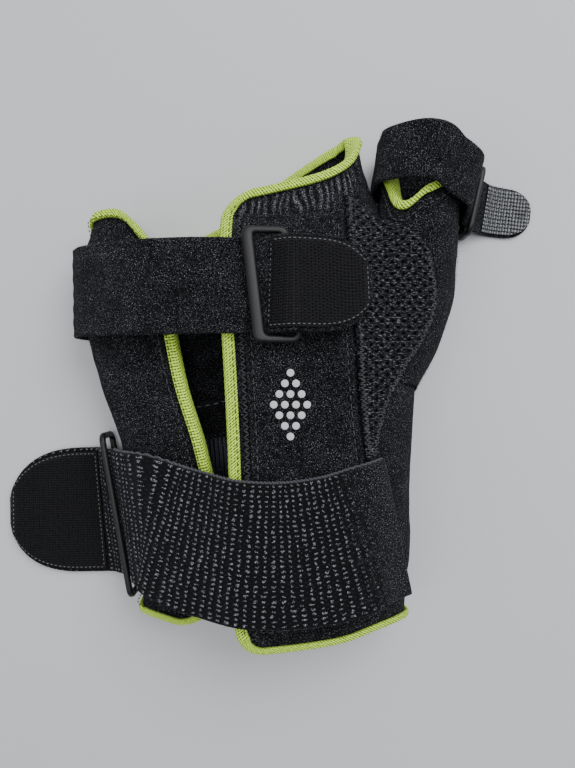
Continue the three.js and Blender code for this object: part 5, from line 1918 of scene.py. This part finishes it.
class SplintFastenerSettings(bpy.types.PropertyGroup):
    elastic: colour_property("Elastic", "Ground colour of the loop-faced elastic", (10, 10, 12))
    loops: colour_property("Loops", "Colour of the elastic's loop tips", (150, 153, 160))
    hook: colour_property("Hook", "Colour of the black hook patches", (5, 5, 6))
    pale_hook: colour_property("Pale hook", "Colour of the thumb tab's hooks", (156, 158, 163))
    nylon: colour_property("Nylon", "Colour of the moulded rings", (15, 15, 17))
    hook_pitch: length_property("Hook pitch", "Distance between neighbouring hooks", 1.25)
    bar_swell: number_property(
        "Bar depth", "Depth of a ring's bars over their width", 0.95, 0.5, subtype="FACTOR", max=1.2
    )


class SplintStageSettings(bpy.types.PropertyGroup):
    height: length_property("Camera height", "Height of the camera over the table", 235)
    key: power_property("Key light", "Power of the large soft light", 7.5)
    fill: power_property("Fill light", "Power of the wide light opposite", 1.6)
    floor: colour_property("Floor", "Colour of the surface", (196, 198, 201))


finishes = {}


def shared(key, maker, *args):
    """The material of a key, made the first time that it is asked for."""
    if key not in finishes:
        finishes[key] = maker(*args)
    return finishes[key]


def full(colour):
    return tuple(colour) + (1.0,)


def plush(scene):
    settings = scene.splint_cloth
    return shared("plush", plush_material, full(settings.plush), full(settings.fleck))


def sewing(scene):
    return shared("sewing", thread_material, "sewing thread", full(scene.splint_trim.thread))


class SPLINT_OT_wrap(bpy.types.Operator):
    """Make the padded wrap and the thumb's sheath"""

    bl_idname = "splint.wrap"
    bl_label = "Wrap and Sheath"

    def execute(self, context):
        softness = context.scene.splint_cloth.softness / MM
        make_wrap(plush(context.scene), softness)
        make_sheath(plush(context.scene), softness)
        return {"FINISHED"}


class SPLINT_OT_binding(bpy.types.Operator):
    """Fold the lime binding over the edges of the wrap and the sheath"""

    bl_idname = "splint.binding"
    bl_label = "Binding"

    def execute(self, context):
        trim = context.scene.splint_trim
        lime = shared("lime", binding_material, full(trim.lime), full(trim.lime_gap_shade))
        make_wrap_binding(lime, trim.puff / MM)
        make_thumb_binding(lime, trim.puff / MM)
        return {"FINISHED"}


class SPLINT_OT_panels(bpy.types.Operator):
    """Lay the spacer mesh, the stay's pocket and its dots on the front"""

    bl_idname = "splint.panels"
    bl_label = "Panels"

    def execute(self, context):
        settings = context.scene.splint_cloth
        # The mesh's dark yarn, and the paler colour of its lit strands, a painted highlight
        dark, strand = shade((10, 10, 12)), shade((124, 126, 134))
        mesh = shared("mesh", mesh_material, dark, strand, settings.mesh_pitch / MM)
        make_mesh_panel(mesh, settings.mesh_pitch / MM, settings.mesh_depth / MM)
        make_stay_pocket(plush(context.scene), settings.softness / MM)
        printed = plain_material("printed dots", full(context.scene.splint_trim.dots), 0.6)
        dots = dots_body("pocket_dots", lozenge(1.0, -7.0, DOT_SPACING), settings.softness / MM)
        put_on(dots, printed)
        return {"FINISHED"}


class SPLINT_OT_straps(bpy.types.Operator):
    """Make the palm, forearm and thumb straps"""

    bl_idname = "splint.straps"
    bl_label = "Straps"

    def execute(self, context):
        softness = context.scene.splint_cloth.softness / MM
        fasteners = context.scene.splint_fasteners
        elastic = shared("elastic", elastic_material, full(fasteners.elastic), full(fasteners.loops))
        make_palm_strap(plush(context.scene), softness)
        make_forearm_strap(elastic, softness)
        make_thumb_strap(plush(context.scene), softness)
        return {"FINISHED"}


class SPLINT_OT_hooks(bpy.types.Operator):
    """Make the hook patches and stand their hooks on them"""

    bl_idname = "splint.hooks"
    bl_label = "Hook Patches"

    def execute(self, context):
        fasteners = context.scene.splint_fasteners
        # tips is a painted highlight on the black tape's hooks
        tips, gaps = shade((58, 59, 62)), shade((16, 16, 18))
        ground, lit = full(fasteners.hook), full(fasteners.pale_hook)
        black = shared("hook", hook_material, "black hook tape", ground, tips, 0.95, 0.22)
        pale = shared("pale_hook", hook_material, "pale hook tape", gaps, lit, 1.5, 0.75)
        for name, patch in PATCHES.items():
            finish = pale if name.startswith("thumb") else black
            put_on(patch_body(name.replace("patch", "tape"), patch), finish, name, slot="hook_tape")
            points, stands = hook_places(patch, fasteners.hook_pitch / MM)
            mesh = points_mesh(name + "_points", points, stands)
            sizes = {"Height": HOOK_HEIGHT * MM, "Radius": HOOK_RADIUS * MM, "Seed": 7.0}
            tree = tree_named("hooks", stud_tree)
            hooks = grown(name.replace("patch", "studs"), mesh, tree, sizes, finish)
            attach(hooks, "root")
        return {"FINISHED"}


class SPLINT_OT_rings(bpy.types.Operator):
    """Make the three moulded rings and their keepers"""

    bl_idname = "splint.rings"
    bl_label = "Rings"

    def execute(self, context):
        fasteners = context.scene.splint_fasteners
        nylon = shared("nylon", moulded_material, full(fasteners.nylon))
        for name, ring, keeper in (
            ("palm", palm_ring, palm_keeper),
            ("forearm", forearm_ring, forearm_keeper),
            ("thumb", thumb_ring, thumb_keeper),
        ):
            wide = PALM_BAR_WIDER if name == "palm" else 0.0
            bar = ring_body(name + "_moulding", ring, fasteners.bar_swell, wide)
            put_on(bar, nylon, name + "_ring", slot="moulded_nylon")
            fold = keeper_body(name + "_fold", keeper)
            put_on(fold, plush(context.scene), name + "_ring_keeper", slot="plush_laminate")
        return {"FINISHED"}


class SPLINT_OT_stitches(bpy.types.Operator):
    """Sew the seams, edges and patches"""

    bl_idname = "splint.stitches"
    bl_label = "Stitches"

    def execute(self, context):
        trim = context.scene.splint_trim
        radius = trim.stitch / MM
        grey = sewing(context.scene)
        pale = shared("patch_thread", thread_material, "patch thread", shade((118, 119, 124)))
        green = shared("ladder", thread_material, "ladder thread", full(trim.ladder))
        threads("edge_stitches", edge_stitches(), radius, grey)
        threads("pocket_stitches", pocket_stitches(), radius, grey)
        threads("leaf_stitches", leaf_stitches(), radius * 0.9, grey)
        threads("lining_stitches", lining_stitches(), radius * 1.2, pale)
        threads("binding_stitches", binding_stitches(), radius, green)
        for name, patch in PATCHES.items():
            threads(name.replace("patch", "stitches"), patch_stitches(patch), radius * 0.8, pale)
        return {"FINISHED"}


class SPLINT_OT_trims(bpy.types.Operator):
    """Make the elastic's rolled edge, the lining's ribs and the loose fibres"""

    bl_idname = "splint.trims"
    bl_label = "Trims"

    def execute(self, context):
        length = context.scene.splint_cloth.fibre_length / MM
        cord = shared("cord", thread_material, "rolled edge", shade((74, 76, 82)), 0.75)
        ribbing = shared("ribbing", thread_material, "ribbed lining", shade((58, 62, 78)), 0.85)
        loose = shared("loose", thread_material, "loose fibres", shade((46, 48, 54)), 0.85)
        threads("elastic_edge", rolled_edge_lines(), 0.46, cord, 0.2, 7)
        threads("lining_ribs", lining_ribs(), 0.62, ribbing, 0.3, 6)
        made = [
            strap_fibres(*PALM, 7, length, 31),
            strap_fibres(*THUMB, 7, length, 33),
            strap_fibres(*FOREARM, 5, length, 35),
            end_fibres(*FOREARM, 1500, 41),
        ]
        threads("strap_fibres", np.concatenate(made), FIBRE_RADIUS, loose, 0.7, 3)
        brushed = np.concatenate([sheath_fibres(2600, 37), wrap_fibres(3400, 39)])
        threads("wrap_fibres", brushed, FIBRE_RADIUS, loose, 0.7, 3)
        return {"FINISHED"}


# Half the floor's side in metres, and the camera's sensor in millimetres against the frame in pixels
FLOOR_HALF = 4.0
SENSOR, FOCAL_PIXELS, FRAME_HEIGHT = 36.0, 580, 768


class SPLINT_OT_stage(bpy.types.Operator):
    """Lay the floor, set the lights and the camera"""

    bl_idname = "splint.stage"
    bl_label = "Stage"

    def execute(self, context):
        settings = context.scene.splint_stage
        half = FLOOR_HALF
        mesh = bpy.data.meshes.new("floor")
        corners = [(-half, -half, 0), (half, -half, 0), (half, half, 0), (-half, half, 0)]
        mesh.from_pydata(corners, [], [(0, 1, 2, 3)])
        floor = bpy.data.objects.new("floor", mesh)
        context.scene.collection.objects.link(floor)
        surface = Shader("floor")
        mesh.materials.append(surface.finish(full(settings.floor), 0.7, specular=0.2))
        make_light("key", (0.42, 0.5, 0.75), 0.7, settings.key)
        make_light("fill", (-0.7, -0.25, 0.6), 0.9, settings.fill)
        make_light("back", (-0.1, 0.75, 0.8), 0.8, settings.fill)
        make_light("over", (0.0, 0.0, 1.1), 0.35, settings.key * 0.5)
        world = bpy.data.worlds.new("studio")
        world.use_nodes = True
        background = next(node for node in world.node_tree.nodes if node.type == "BACKGROUND")
        background.inputs["Color"].default_value = (0.78, 0.8, 0.84, 1.0)
        background.inputs["Strength"].default_value = 0.55
        context.scene.world = world
        make_camera(context.scene, settings.height)
        return {"FINISHED"}


def make_light(name, place, size, power):
    lamp = bpy.data.lights.new(name, "AREA")
    lamp.shape = "DISK"
    lamp.size = size
    lamp.energy = power
    obj = bpy.data.objects.new(name, lamp)
    obj.location = place
    obj.rotation_euler = (Vector((0, 0, 0.01)) - Vector(place)).to_track_quat("-Z", "Y").to_euler()
    bpy.context.scene.collection.objects.link(obj)


def make_camera(scene, height):
    """Looks straight down on the photograph's middle."""
    lens = bpy.data.cameras.new("camera")
    lens.sensor_fit = "VERTICAL"
    lens.sensor_height = SENSOR
    lens.sensor_width = SENSOR
    lens.lens = SENSOR * FOCAL_PIXELS / FRAME_HEIGHT
    lens.clip_start = 0.01
    camera = bpy.data.objects.new("camera", lens)
    camera.location = (origin[0] * MM, origin[1] * MM, height)
    scene.collection.objects.link(camera)
    scene.camera = camera


class SPLINT_PT_panel(bpy.types.Panel):
    """The splint's pieces and the sizes and colours that they take"""

    bl_label = "Thumb Spica Splint"
    bl_idname = "SPLINT_PT_panel"
    bl_space_type = "VIEW_3D"
    bl_region_type = "UI"
    bl_category = "Splint"

    def draw(self, context):
        layout = self.layout
        for operator in OPERATORS:
            layout.operator(operator.bl_idname)
        for key, group in SETTINGS.items():
            box = layout.box()
            for name in group.__annotations__:
                box.prop(getattr(context.scene, key), name)


SETTINGS = {
    "splint_cloth": SplintClothSettings,
    "splint_trim": SplintTrimSettings,
    "splint_fasteners": SplintFastenerSettings,
    "splint_stage": SplintStageSettings,
}
OPERATORS = (
    SPLINT_OT_wrap,
    SPLINT_OT_binding,
    SPLINT_OT_panels,
    SPLINT_OT_straps,
    SPLINT_OT_hooks,
    SPLINT_OT_rings,
    SPLINT_OT_stitches,
    SPLINT_OT_trims,
    SPLINT_OT_stage,
)


def register():
    for group in SETTINGS.values():
        bpy.utils.register_class(group)
    for operator in OPERATORS:
        bpy.utils.register_class(operator)
    bpy.utils.register_class(SPLINT_PT_panel)
    for key, group in SETTINGS.items():
        setattr(bpy.types.Scene, key, bpy.props.PointerProperty(type=group))


def unregister():
    for key in SETTINGS:
        delattr(bpy.types.Scene, key)
    bpy.utils.unregister_class(SPLINT_PT_panel)
    for operator in reversed(OPERATORS):
        bpy.utils.unregister_class(operator)
    for group in reversed(SETTINGS.values()):
        bpy.utils.unregister_class(group)


def main():
    register()
    bpy.ops.splint.wrap()
    bpy.ops.splint.binding()
    bpy.ops.splint.panels()
    bpy.ops.splint.straps()
    bpy.ops.splint.hooks()
    bpy.ops.splint.rings()
    bpy.ops.splint.stitches()
    bpy.ops.splint.trims()
    bpy.ops.splint.stage()


if __name__ == "__main__":
    main()
